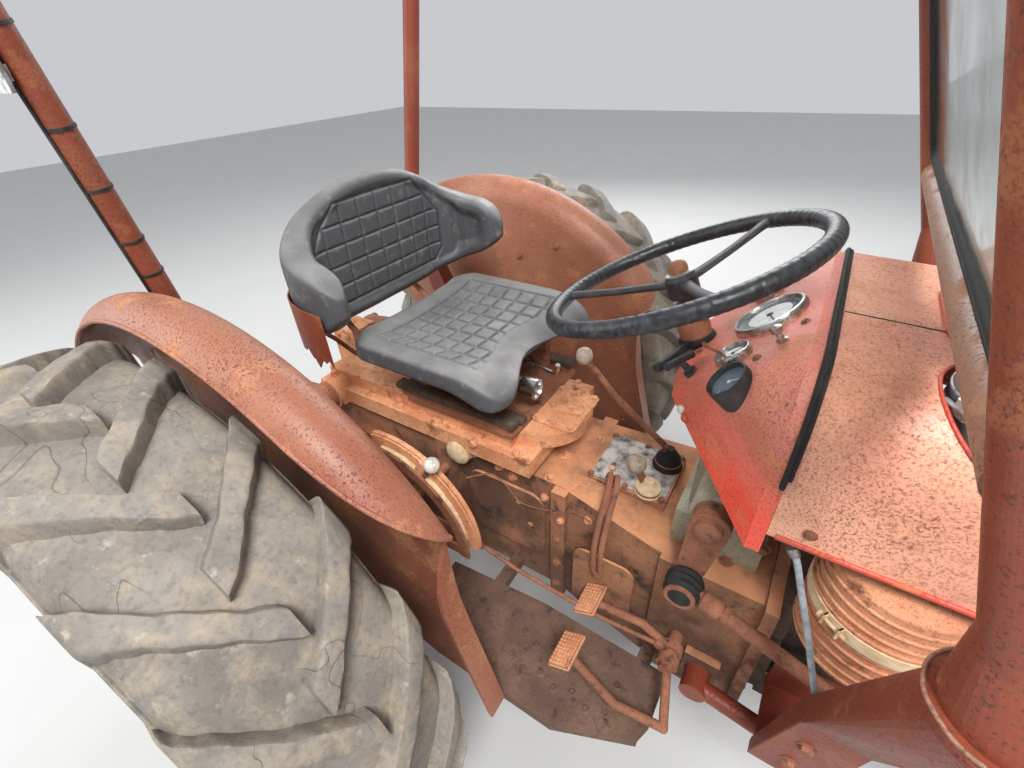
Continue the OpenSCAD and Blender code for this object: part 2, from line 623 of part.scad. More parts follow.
// Seat
pan_z = cover_top + 125;
module seat_pan() color("sienna") {
    block([150, 452], [-150, 150], [cover_top + fit, cover_top + 10]);
    block([96, 368], [-180, 180], [pan_z - 8, pan_z]);
    // box frame under the pan
    both_sides() block([120, 380], [100, 106], [cover_top + 9, pan_z - 7]);
    for (x = [170, 370]) both_sides() block([x, x + 24], [100, 124], [cover_top + 9, pan_z - 7]);
    // slide rails
    both_sides() block([130, 440], [126, 146], [cover_top + 9, cover_top + 26]);
    // struts and shell behind the backrest
    both_sides() bent_bar([[120, 128, pan_z - 13], [10, 128, pan_z - 10], [-59.5, 124, 1076], [-59.5, 118, 1290]], 8);
    block([-52.3, -48.3], [-150, 150], [1110, 1310]);
    // adjuster
    along_x([376, 440], -62, pan_z - 40, 16);
    block([350, 380], [-80, -44], [pan_z - 56, pan_z - 7]);
}
// Cushion: a saddle with raised sides and two lobes over the front edge
function cushion_ring(x, w, zb, zt, dip) = [[x, -w, zb + 14], [x, -w + 20, zb], [x, -w * 0.45, zb + dip * 0.4], [x, w * 0.45, zb + dip * 0.4],
    [x, w - 20, zb], [x, w, zb + 14], [x, w + 2, (zb + zt) / 2 + 10], [x, w - 10, zt - 6], [x, w - 42, zt], [x, w * 0.5, zt - 16], [x, 0, zt - 24],
    [x, -w * 0.5, zt - 16], [x, -w + 42, zt], [x, -w + 10, zt - 6], [x, -w - 2, (zb + zt) / 2 + 10]];
module seat_cushion() color("dimgray") loft([
    cushion_ring(82, 170, pan_z + fit, seat_top + 2, 0), cushion_ring(96, seat_w / 2 - 14, pan_z + fit, seat_top + 12, 0),
    cushion_ring(150, seat_w / 2, pan_z + fit, seat_top + 8, 0), cushion_ring(260, seat_w / 2, pan_z + fit, seat_top, 0),
    cushion_ring(370, seat_w / 2, pan_z + fit, seat_top + 12, 0), cushion_ring(402, seat_w / 2, pan_z - 8, seat_top + 14, 30),
    cushion_ring(446, seat_w / 2 - 4, pan_z - 26, seat_top + 4, 64), cushion_ring(468, seat_w / 2 - 22, pan_z - 18, seat_top - 22, 60)]);
// Backrest: wraps forward into two arms
function back_x(t) = t < 0.5 ? -18 : -18 + 590 * (t - 0.5) * (t - 0.5);
function back_y(t) = t < 0.5 ? 350 * t : 175 + 96 * sin(min(90, (t - 0.5) * 180));
function back_ring(t, n, zb, zt, th) = let (c = [back_x(abs(t)), sign(t) * back_y(abs(t))], u = [cos(n), sin(n)])
    [for (q = [[-0.5, zb + 16], [-0.2, zb], [0.3, zb], [0.5, zb + 18], [0.5, zt - 26], [0.28, zt - 6], [0, zt], [-0.28, zt - 6], [-0.5, zt - 26]])
        [c[0] + u[0] * q[0] * th, c[1] + u[1] * q[0] * th, q[1]]];
module seat_back() color("dimgray") loft([
    back_ring(-1.06, 88, 1164, 1246, 34), back_ring(-1.0, 84, 1146, 1268, 60), back_ring(-0.86, 66, 1122, 1282, 66), back_ring(-0.7, 42, 1100, 1306, 68),
    back_ring(-0.5, 16, 1088, 1344, 60), back_ring(-0.25, 4, 1084, 1376, 60), back_ring(0, 0, 1084, 1384, 60), back_ring(0.25, -4, 1084, 1376, 60),
    back_ring(0.5, -16, 1088, 1344, 60), back_ring(0.7, -42, 1100, 1306, 68), back_ring(0.86, -66, 1122, 1282, 66), back_ring(1.0, -84, 1146, 1268, 60),
    back_ring(1.06, -88, 1164, 1246, 34)]);

// Cab frame
bar_z = 1366;
post_x = 1041;
post_y = 480;
foot_y = 430;
function on_post(z, s) = [post_x - (z - bar_z) * tan(post_lean), s * post_y, z];
function rear_post(z, s) = [-266 + 0.094 * (z - 1200), s * (393 + 0.129 * (z - 1200)), z];
module cab_side() color("firebrick") {
    r = tube_d / 2;
    rail_z = frame_top - r;
    bent_rod([on_post(1165, 1), on_post(rail_z, 1), rear_post(rail_z, 1), rear_post(1180, 1)], r);
    // front foot: the post flares into a collar, and a folded bracket runs down to the engine's side
    c = on_post(1175, 1);
    hull() {
        translate([c[0] - 3, c[1] - 6, 1172]) cylinder(h = 3, r = 42, $fn = soft);
        translate([c[0] - 34, c[1] - 3, 1262]) cylinder(h = 3, r = r - 2, $fn = soft);
    }
    translate([c[0] - 3, c[1] - 6, 1165]) cylinder(h = 7.5, r = 50, $fn = fine);
    hull() {
        translate([c[0] - 3, c[1] - 6, 1150]) cylinder(h = 15.5, r = 44, $fn = soft);
        block([1058, 1142], [318, 352], [800, 815]);
    }
    hull() {
        block([1058, 1142], [318, 352], [800, 815]);
        block([1035, 1140], [290, 312], [545, 560]);
    }
    block([1040, 1190], [165 + fit, 175], [545, 640]);
    block([1040, 1130], [165 + fit, 312], [545, 555]);
    // rear foot on the axle housing
    hull() {
        translate([-300, 372, 1170]) cube([44, 40, 12]);
        translate([-60, 300, rear_tyre_r + 102]) cube([80, 60, 12]);
    }
}
module cab_bars() color("sienna") {
    r = tube_d / 2;
    rail_z = frame_top - r;
    rod(on_post(bar_z, -1) + [0, r + fit, 0], on_post(bar_z, 1) - [0, r + fit, 0], r);
    for (p = [on_post(rail_z, 1), rear_post(rail_z, 1) - [0, 2.6, 0]])
        rod([p[0], -p[1] + r * 1.04 + fit, p[2]], [p[0], p[1] - r * 1.04 - fit, p[2]], r);
}
module windscreen() {
    r = tube_d / 2 + fit;
    rail_z = frame_top - tube_d / 2;
    span = (rail_z - bar_z) / cos(post_lean);
    w = post_y - r;
    translate([post_x, 0, bar_z]) rotate([0, -post_lean, 0]) {
        color("lightcyan", 0.4) block([-2.5, 2.5], [-w + 20, w - 20], [r + 20, span - r - 20]);
        color("black") difference() {
            block([-7, 7], [-w, w], [r, span - r]);
            block([-8, 8], [-w + 24, w - 24], [r + 24, span - r - 24]);
            block([-2.5, 2.5], [-w + 20, w - 20], [r + 20, span - r - 20]);
        }
    }
}

// Lamps
lamp_r = 88;
module headlamp() {
    along_y(1990, [252.7, 318], 1010, 12);
    difference() {
        union() {
            translate([1962, 345, 1010]) rotate([0, 90, 0]) cylinder(h = 70, r1 = 46, r2 = lamp_r - 6, $fn = fine);
            along_x([2031, 2062], 345, 1010, lamp_r);
        }
        along_x([2052, 2070], 345, 1010, lamp_r - 10);
    }
    translate([2048, 345, 1010]) rotate([0, 90, 0]) cylinder(h = 10, r1 = lamp_r - 10.5, r2 = lamp_r - 30, $fn = fine);
}
module lamps() color("lightgray") {
    both_sides() headlamp();
    // work lamp on a plate at the right rear post
    p = rear_post(1612, -1);
    y = p[1] - tube_d / 2 - 0.6;
    block([p[0] - 60, p[0] + 26], [y - 12, y - 6], [1575, 1650]);
    block([p[0] - 20, p[0] + 20], [y - 6.1, y], [1590, 1612]);
    rod([p[0] - 48, y - 9, 1640], [p[0] - 70, y - 9, 1690], 8);
    difference() {
        along_x([p[0] - 118, p[0] - 50], y - 9, 1740, 58);
        along_x([p[0] - 130, p[0] - 110], y - 9, 1740, 52);
    }
    translate([p[0] - 51, y - 9, 1740]) rotate([0, 90, 0]) cylinder(h = 26, r1 = 50, r2 = 24, $fn = fine);
}

// Air cleaner and intake stack
module air_cleaner() color("sienna") {
    c = [stack[0], stack[1]];
    translate([c[0], c[1], 820]) cylinder(h = 185, r = 92, $fn = 64);
    translate([c[0], c[1], 905]) cylinder(h = 34, r = 96, $fn = 64);
    translate([c[0], c[1], 1004]) cylinder(h = 186, r = 46, $fn = fine);
    translate([c[0], c[1], 1189]) cylinder(h = 90, r = 58, $fn = fine);
    translate([c[0], c[1], 1278]) cylinder(h = 420, r = 46, $fn = fine);
    // bracket to the engine
    block([c[0] - 20, c[0] + 20], [c[1] + 80, -82 - fit], [850, 880]);
}

// Hitch
module lift_arms() color("firebrick") {
    z = lift_shaft[2];
    t = lift_tip();
    along_y(lift_shaft[0], [-215, 215], z, 20);
    both_sides() hull() {
        along_y(lift_shaft[0], [192, 216], z, 34);
        along_y(t[0], [196, 214], t[2], 20);
    }
    both_sides() along_y(t[0], [196, 240], t[2], 9);
}
module lower_link() color("firebrick") {
    difference() {
        union() {
            hull() {
                along_y(link_pin[0], [214, 240], link_pin[2], 24);
                along_y(link_pin[0] - 60, [217, 237], link_z(-20), 20);
            }
            hull() {
                along_y(link_pin[0] - 60, [217, 237], link_z(-20), 20);
                along_y(link_end_x, [380, 400], link_z(link_end_x), link_eye_r);
            }
            along_y(link_end_x, [372, 408], link_z(link_end_x), link_eye_r);
            along_y(link_joint_x, [286, 305], link_z(link_joint_x), 15);
            along_y(link_joint_x, [262, 305], link_z(link_joint_x), 9);
        }
        along_y(link_pin[0], [200, 260], link_pin[2], 11 + run);
        along_y(link_end_x, [360, 420], link_z(link_end_x), 11.2);
    }
}
module lift_rod() color("firebrick") {
    t = lift_tip();
    difference() {
        union() {
            along_y(t[0], [217, 237], t[2], 18);
            rod([t[0], 227, t[2] - 10], [link_joint_x, 276, link_z(link_joint_x) + 22], 11);
            along_y(link_joint_x, [268, 284], link_z(link_joint_x), 27);
        }
        along_y(t[0], [200, 250], t[2], 9 + run);
        // loose eye: the link swings on its own pivot
        along_y(link_joint_x, [260, 290], link_z(link_joint_x), 15);
    }
}

place() transmission();
place() lift_cover();
place() both_sides() axle_housing();  // axle_housings
place() engine();
place() front_support();
place() front_axle();
place() radius_rods();
place() hood();
place() nose();
place() filler_flap();
place() dash();
place() steering_box();
place() steering_wheel();
place() side(1) drop_arm();  // drop_arm_left
place() side(-1) drop_arm();  // drop_arm_right
place() side(1) drag_link();  // drag_link_left
place() side(-1) drag_link();  // drag_link_right
place() side(1) knuckle();  // knuckle_left
place() side(-1) knuckle();  // knuckle_right
place() side(1) ring_y(wheelbase, front_track / 2, front_tyre_r) front_tyre();  // front_tyre_left
place() side(-1) ring_y(wheelbase, front_track / 2, front_tyre_r) front_tyre();  // front_tyre_right
place() side(1) ring_y(wheelbase, front_track / 2, front_tyre_r) front_rim();  // front_rim_left
place() side(-1) ring_y(wheelbase, front_track / 2, front_tyre_r) front_rim();  // front_rim_right
place() side(1) ring_y(0, rear_track / 2, rear_tyre_r) rear_tyre();  // rear_tyre_left
place() side(-1) ring_y(0, rear_track / 2, rear_tyre_r) rear_tyre();  // rear_tyre_right
place() side(1) ring_y(0, rear_track / 2, rear_tyre_r) rear_rim();  // rear_rim_left
place() side(-1) ring_y(0, rear_track / 2, rear_tyre_r) rear_rim();  // rear_rim_right
place() both_sides() fender();  // fenders
place() both_sides() footplate();  // footplates
place() pedals();
place() levers();
place() quadrant();
place() seat_pan();
place() seat_cushion();
place() seat_back();
place() both_sides() cab_side();  // cab_sides
place() cab_bars();
place() windscreen();
place() lamps();
place() air_cleaner();
place() lift_arms();
place() side(1) lower_link();  // lower_link_left
place() side(-1) lower_link();  // lower_link_right
place() side(1) lift_rod();  // lift_rod_left
place() side(-1) lift_rod();  // lift_rod_right
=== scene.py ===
"""Looks of a vintage farm tractor with an open tube frame and a bucket seat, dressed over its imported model.

Places are given in metres from the rear axle's station, as in the part's source, and at() moves them to the
row frame. Sizes that a Shape takes, and places given with mm(), are in millimetres. The tractor's right side,
at -Y, faces the camera.
"""
import random
from math import copysign, cos, exp, hypot, pi, radians, sin, sqrt, tan

import bmesh
import bpy
from mathutils import Matrix, Vector


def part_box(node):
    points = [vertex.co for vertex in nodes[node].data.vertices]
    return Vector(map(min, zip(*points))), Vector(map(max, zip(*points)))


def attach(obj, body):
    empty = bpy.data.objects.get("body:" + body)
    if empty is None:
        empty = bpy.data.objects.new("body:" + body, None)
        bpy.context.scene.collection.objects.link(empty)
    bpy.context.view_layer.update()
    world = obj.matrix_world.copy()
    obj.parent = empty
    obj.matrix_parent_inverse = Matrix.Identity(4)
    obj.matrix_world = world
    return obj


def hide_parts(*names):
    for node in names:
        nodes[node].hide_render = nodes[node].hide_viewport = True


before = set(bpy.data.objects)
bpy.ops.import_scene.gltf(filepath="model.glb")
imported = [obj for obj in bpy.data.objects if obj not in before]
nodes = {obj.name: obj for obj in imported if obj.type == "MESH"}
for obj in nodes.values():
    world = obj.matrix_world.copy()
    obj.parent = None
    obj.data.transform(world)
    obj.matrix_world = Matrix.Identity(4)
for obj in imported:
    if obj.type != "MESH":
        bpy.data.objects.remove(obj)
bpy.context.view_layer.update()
dice = random.Random(7)

SIDES = {"left": 1, "right": -1}
REAR_LOW, REAR_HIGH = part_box("rear_tyre_right")
AXLE_X = (REAR_LOW[0] + REAR_HIGH[0]) / 2
AXLE_Z = (REAR_LOW[2] + REAR_HIGH[2]) / 2
UP, ALONG_X, ALONG_Y = Vector((0, 0, 1)), Vector((1, 0, 0)), Vector((0, 1, 0))


def at(x, y, z):
    """A place given from the rear axle's station, in the row frame."""
    return Vector((x + AXLE_X, y, z))


def mm(x, y, z):
    """The same place, given in millimetres."""
    return at(x / 1000, y / 1000, z / 1000)


def shade(colour):
    """A colour read in 0 to 255 display values, as Blender's linear colour."""
    shares = [value / 255 for value in colour]
    return (*(v / 12.92 if v <= 0.04045 else ((v + 0.055) / 1.055) ** 2.4 for v in shares), 1)


# Materials

class Finish:
    """Builds one procedural material from noise in the object's own space."""

    def __init__(self, name, roughness=0.6, metallic=0.0):
        self.material = bpy.data.materials.new(name)
        self.material.use_nodes = True
        self.tree = self.material.node_tree
        self.shader = self.tree.nodes["Principled BSDF"]
        self.shader.inputs["Roughness"].default_value = roughness
        self.shader.inputs["Metallic"].default_value = metallic
        self.where = self.tree.nodes.new("ShaderNodeTexCoord").outputs["Object"]
        self.normal = None

    def feed(self, socket, value):
        if isinstance(value, bpy.types.NodeSocket):
            self.tree.links.new(value, socket)
        else:
            socket.default_value = value

    def node(self, kind, inputs):
        """A new node, with its inputs fed by name or number."""
        node = self.tree.nodes.new("ShaderNode" + kind)
        for socket, value in inputs.items():
            self.feed(node.inputs[socket], value)
        return node

    def noise(self, scale, detail=5.0, rough=0.55, warp=0.0):
        inputs = {"Vector": self.where, "Scale": scale, "Detail": detail}
        inputs.update({"Roughness": rough, "Distortion": warp})
        return self.node("TexNoise", inputs).outputs["Fac"]

    def cells(self, scale):
        return self.node("TexVoronoi", {"Vector": self.where, "Scale": scale}).outputs["Distance"]

    def height(self, vector=None):
        return self.node("SeparateXYZ", {0: vector or self.where}).outputs["Z"]

    def facing_up(self):
        """1 on surfaces that look up, 0 on walls and undersides."""
        return self.span(self.height(self.node("NewGeometry", {}).outputs["Normal"]), 0.35, 0.95)

    def span(self, value, low, high, out_low=0.0, out_high=1.0):
        inputs = {"Value": value, "From Min": low, "From Max": high, "To Min": out_low, "To Max": out_high}
        return self.node("MapRange", inputs).outputs["Result"]

    def work(self, operation, a, b):
        node = self.node("Math", {0: a, 1: b})
        node.operation = operation
        return node.outputs[0]

    def plus(self, a, b):
        return self.work("ADD", a, b)

    def times(self, a, b):
        return self.work("MULTIPLY", a, b)

    def blend(self, factor, a, b):
        """A mix of two colours, each a socket or display values."""
        node = self.node("Mix", {0: factor})
        node.data_type = "RGBA"
        self.feed(node.inputs[6], shade(a) if isinstance(a, tuple) else a)
        self.feed(node.inputs[7], shade(b) if isinstance(b, tuple) else b)
        return node.outputs[2]

    def bump(self, height, depth, strength):
        node = self.node("Bump", {"Strength": strength, "Distance": depth, "Height": height})
        self.normal = node.outputs["Normal"]

    def done(self, colour, roughness=None):
        self.feed(self.shader.inputs["Base Color"], colour)
        if roughness is not None:
            self.feed(self.shader.inputs["Roughness"], roughness)
        if self.normal is not None:
            self.tree.links.new(self.normal, self.shader.inputs["Normal"])
        return self.material


RUST_LIGHT, RUST, RUST_DARK = (208, 146, 98), (150, 90, 62), (98, 54, 42)
RUST_STAIN, RUST_SPECK = (164, 100, 74), (112, 64, 46)
# Heights between which the painted sunlight on a part's low band fades out.
SUNLIT_LOW_Z = (1.06, 1.20)


def painted(name, paint, faded, patches, speckle, sunlit_low_colour=None):
    """Old paint: large fading, brown stains, light rust patches, and fine dark specks, thicker in places;
    where given, a brighter colour low down as painted sunlight.
    """
    f = Finish(name)
    cover = f.blend(f.span(f.noise(3.1, 6), 0.35, 0.66), paint, faded)
    # Painted sunlight: the part takes a brighter colour below these heights.
    if sunlit_low_colour:
        edge = f.plus(f.height(), f.span(f.noise(9), 0, 1, -0.06, 0.06))
        cover = f.blend(f.span(edge, *SUNLIT_LOW_Z, 1, 0), cover, sunlit_low_colour)
    cover = f.blend(f.span(f.noise(4.6, 9, 0.66, 0.5), 0.5, 0.68, 0, 0.55), cover, RUST_STAIN)
    drift = f.span(f.noise(2.3, 3), 0, 1, -0.12, 0.12)
    patch = f.span(f.plus(f.noise(13, 9, 0.68), drift), 0.56 - 0.1 * patches, 0.62)
    cover = f.blend(f.times(patch, min(1.0, patches * 1.6)), cover, RUST_LIGHT)
    grain = f.noise(330, 3, 0.6)
    thick = f.span(f.noise(5.5, 6, 0.6), 0.28, 0.66, 0.25, 1)
    fine = f.times(f.span(grain, 0.5, 0.64), thick)
    cover = f.blend(f.times(fine, min(1.0, speckle * 1.2)), cover, RUST_SPECK)
    spots = f.times(f.span(f.noise(230, 4, 0.62), 0.57, 0.65), thick)
    cover = f.blend(f.times(spots, min(1.0, speckle * 1.2)), cover, RUST_DARK)
    bare = f.span(f.plus(f.noise(21, 8, 0.7), f.span(f.noise(1.7, 2), 0, 1, -0.1, 0.1)), 0.62, 0.7)
    cover = f.blend(f.times(bare, patches), cover, RUST)
    f.bump(f.plus(f.times(grain, 0.4), f.times(spots, 0.8)), 0.0010, 0.7)
    return f.done(cover, f.span(f.work("MAXIMUM", spots, patch), 0, 1, 0.45, 0.82))


def rusted(name, light, middle, dark, scale, depth, grease=0.0, sunny=None):
    """Bare iron gone to rust: scabs, pits and stains; optional grease low down, and optional painted sunlight
    that lightens the surfaces that look up.
    """
    f = Finish(name, roughness=0.85)
    scabs = f.noise(42 * scale, 8, 0.7)
    cover = f.blend(f.span(f.noise(6.5 * scale, 8, 0.62, 0.3), 0.36, 0.62), middle, light)
    cover = f.blend(f.span(scabs, 0.5, 0.68), cover, middle)
    cover = f.blend(f.span(f.noise(17 * scale, 7, 0.66), 0.56, 0.68), cover, dark)
    cover = f.blend(f.times(f.span(f.noise(260 * scale, 2), 0.55, 0.68), 0.55), cover, dark)
    if grease:
        oily = f.span(f.plus(f.noise(4.2, 6, 0.6), f.span(f.height(), 0.45, 0.95, 0.16, -0.14)), 0.5, 0.62)
        cover = f.blend(f.times(oily, grease), cover, (48, 38, 32))
    # Painted sunlight: surfaces that look up are blended towards the lighter sunny colour.
    if sunny:
        sunlit_top = f.times(f.facing_up(), f.span(f.noise(11 * scale, 8, 0.66), 0.36, 0.56, 0.1, 0.8))
        cover = f.blend(sunlit_top, cover, sunny)
    f.bump(f.plus(f.times(scabs, 0.7), f.times(f.cells(210 * scale), 0.3)), depth, 0.8)
    return f.done(cover, f.span(scabs, 0.3, 0.7, 0.72, 0.95))


def rubber(name, dark, dust, cracks):
    """Worn tyre rubber: greyed and dusty, with a few long, thin, winding cracks."""
    f = Finish(name, roughness=0.8)
    fine = f.noise(120, 5, 0.65)
    cover = f.blend(f.span(f.noise(7, 7, 0.62), 0.36, 0.66), dark, (146, 141, 133))
    cover = f.blend(f.span(f.noise(16, 8, 0.7, 0.4), 0.46, 0.68, 0, 0.8), cover, dust)
    cover = f.blend(f.span(fine, 0.5, 0.7, 0, 0.4), cover, (84, 80, 76))
    cover = f.blend(f.span(f.noise(38, 6, 0.7), 0.6, 0.7, 0, 0.5), cover, (196, 188, 172))
    distance = f.work("ABSOLUTE", f.work("SUBTRACT", f.noise(6.5, 2, 0.5, 0.6), 0.5), 0)
    some = f.times(f.span(distance, 0.0, 0.0035, 1, 0), f.span(f.noise(4.3, 2), 0.5, 0.56))
    cover = f.blend(f.times(some, cracks), cover, (58, 54, 50))
    f.bump(f.work("SUBTRACT", f.times(fine, 0.5), some), 0.0012, 0.7)
    return f.done(cover, f.span(fine, 0.3, 0.7, 0.66, 0.9))


def vinyl(name, base, worn):
    """Moulded seat vinyl with a leather grain, lighter where it looks up: partly dust, partly painted
    sunlight.
    """
    f = Finish(name, roughness=0.5)
    dust_and_sunlight = f.times(f.facing_up(), f.span(f.noise(12, 6, 0.6), 0.3, 0.7, 0.35, 1))
    # The worn colour on surfaces that look up is partly dust and partly painted sunlight.
    cover = f.blend(dust_and_sunlight, base, worn)
    cover = f.blend(f.span(f.noise(45, 6, 0.65), 0.56, 0.72, 0, 0.5), cover, (156, 150, 142))
    f.bump(f.plus(f.cells(620), f.times(f.noise(60, 4), 0.4)), 0.0007, 0.6)
    return f.done(cover, f.span(f.noise(25), 0.3, 0.7, 0.34, 0.54))


def plain(name, colour, second, scale, roughness, metallic=0.0, depth=0.0004):
    """A simple worn surface with a second tone in its marks."""
    f = Finish(name, roughness, metallic)
    marks = f.noise(scale, 7, 0.65)
    f.bump(f.noise(scale * 9, 4, 0.6), depth, 0.5)
    cover = f.blend(f.span(marks, 0.45, 0.66), colour, second)
    return f.done(cover, f.span(marks, 0.3, 0.7, roughness, min(1.0, roughness + 0.25)))


def dusty_glass(name, most):
    f = Finish(name, roughness=0.05)
    f.shader.inputs["Transmission Weight"].default_value = 1.0
    f.shader.inputs["IOR"].default_value = 1.1
    dirt = f.span(f.noise(9, 8, 0.7), 0.42, 0.75, 0, most)
    f.bump(f.noise(40, 3), 0.0001, 0.2)
    return f.done(f.blend(dirt, (236, 244, 240), (214, 216, 200)), f.span(dirt, 0, 1, 0.04, 0.2))


M = {
    "hood": painted("paint_bonnet", (232, 156, 128), (246, 188, 156), 0.16, 0.6),
    # The dash's last colour is painted sunlight on its lower part.
    "dash": painted("paint_dash", (220, 118, 98), (212, 142, 126), 0.2, 0.5, (255, 92, 70)),
    "fender": painted("paint_fender", (152, 90, 68), (172, 118, 92), 0.32, 0.75),
    "frame": painted("paint_frame", (134, 54, 34), (140, 72, 48), 0.14, 0.8),
    "bar": painted("paint_bar", (150, 110, 86), (166, 130, 104), 0.2, 0.7),
    "red": painted("paint_red", (206, 62, 48), (200, 92, 70), 0.25, 0.45),
    "stack": painted("paint_stack", (204, 96, 76), (196, 116, 96), 0.25, 0.6),
    "rim": painted("paint_rim", (206, 198, 178), (184, 172, 152), 0.5, 0.5),
    "lift": rusted("rust_cover", (236, 176, 130), (204, 134, 94), (132, 82, 56), 1.2, 0.0016),
    # The gearbox's last colour is painted sunlight on its surfaces that look up.
    "gearbox": rusted("rust_gearbox", (176, 122, 88), (140, 98, 74), (78, 58, 48), 1, 0.0018, 0.6,
                      (222, 156, 112)),
    "axle": rusted("rust_axle", (164, 106, 76), (130, 82, 60), (76, 52, 42), 1, 0.0018, 0.4),
    "engine": rusted("oily_engine", (132, 112, 96), (104, 84, 70), (56, 48, 42), 1, 0.0014, 0.9),
    "casting": rusted("grey_casting", (186, 184, 160), (158, 154, 132), (112, 92, 70), 1.4, 0.001),
    "floor": rusted("rust_floor", (122, 94, 76), (98, 74, 62), (58, 44, 38), 1.5, 0.0016),
    "steel": rusted("rust_steel", (164, 108, 80), (132, 84, 62), (78, 54, 44), 2, 0.001),
    "drum": rusted("rust_drum", (226, 168, 126), (200, 134, 100), (112, 66, 48), 1.4, 0.0008),
    "tyre": rubber("tyre_rubber", (116, 111, 104), (172, 156, 132), 0.45),
    # The seat's second colour is partly dust and partly painted sunlight on surfaces that look up.
    "vinyl": vinyl("seat_vinyl", (82, 84, 87), (138, 137, 134)),
    "tape": plain("black_tape", (38, 40, 44), (66, 69, 74), 60, 0.24),
    "black": plain("black_parts", (38, 38, 40), (66, 64, 62), 40, 0.4),
    "seal": plain("black_seal", (28, 28, 28), (48, 46, 44), 50, 0.7),
    "chrome": plain("worn_chrome", (206, 206, 204), (150, 140, 128), 55, 0.16, 1.0, 0.0001),
    "zinc": plain("dull_zinc", (186, 188, 190), (128, 120, 112), 60, 0.36, 0.9, 0.0002),
    "dial": plain("dial_face", (228, 230, 226), (204, 204, 198), 90, 0.35),
    "dial_dark": plain("dial_dark", (104, 120, 128), (84, 96, 102), 90, 0.12),
    "white": plain("white_knob", (226, 224, 216), (186, 178, 162), 80, 0.4),
    "cream": plain("cream_strip", (226, 206, 168), (196, 158, 118), 40, 0.6),
    "stain": plain("stained_plate", (188, 184, 176), (46, 44, 44), 30, 0.5, 0.0, 0.0012),
    "grey": plain("grey_rubber", (120, 122, 124), (88, 90, 92), 40, 0.6),
    "cable": plain("grey_cable", (168, 176, 182), (124, 126, 128), 70, 0.45),
    "knob": plain("worn_knob", (178, 164, 146), (132, 112, 94), 60, 0.5),
    "wood": plain("dark_battens", (74, 60, 50), (104, 84, 68), 30, 0.85),
    "reflector": plain("lamp_reflector", (220, 222, 224), (190, 188, 182), 40, 0.12, 1.0, 0.0001),
    "glass": dusty_glass("dusty_glass", 1.0),
    "lens": dusty_glass("lamp_lens", 0.3),
}

# The CAD nodes of each finish; * stands for left and right
NODE_FINISH = {
    "gearbox": "transmission", "lift": "lift_cover", "axle": "axle_housings front_support",
    "engine": "engine", "frame": "front_axle radius_rods knuckle_* cab_sides", "hood": "hood filler_flap",
    "dash": "dash", "fender": "nose fenders lift_arms", "casting": "steering_box",
    "tyre": "front_tyre_* rear_tyre_*", "rim": "front_rim_* rear_rim_*", "floor": "footplates",
    "vinyl": "seat_cushion seat_back", "tape": "steering_wheel", "bar": "cab_bars", "glass": "windscreen",
    "zinc": "lamps", "drum": "air_cleaner",
    "steel": "drop_arm_* drag_link_* pedals levers quadrant seat_pan lower_link_* lift_rod_*",
}
for finish_name, names in NODE_FINISH.items():
    for name in names.split():
        for side in SIDES:
            for place in nodes[name.replace("*", side)].material_slots:
                place.material = M[finish_name]


# Shapes

def angles(count, start=0.0):
    return [start + 2 * pi * k / count for k in range(count)]


def circle(centre, radius, u, v, count, start=0.0):
    """Points round a centre, turning from u to v."""
    return [centre + radius * (cos(a) * u + sin(a) * v) for a in angles(count, start)]


def square_to(axis):
    """The axis at unit length, and two directions square to it."""
    axis = Vector(axis).normalized()
    side = axis.cross(UP if abs(axis.z) < 0.9 else ALONG_X).normalized()
    return axis, side, axis.cross(side)


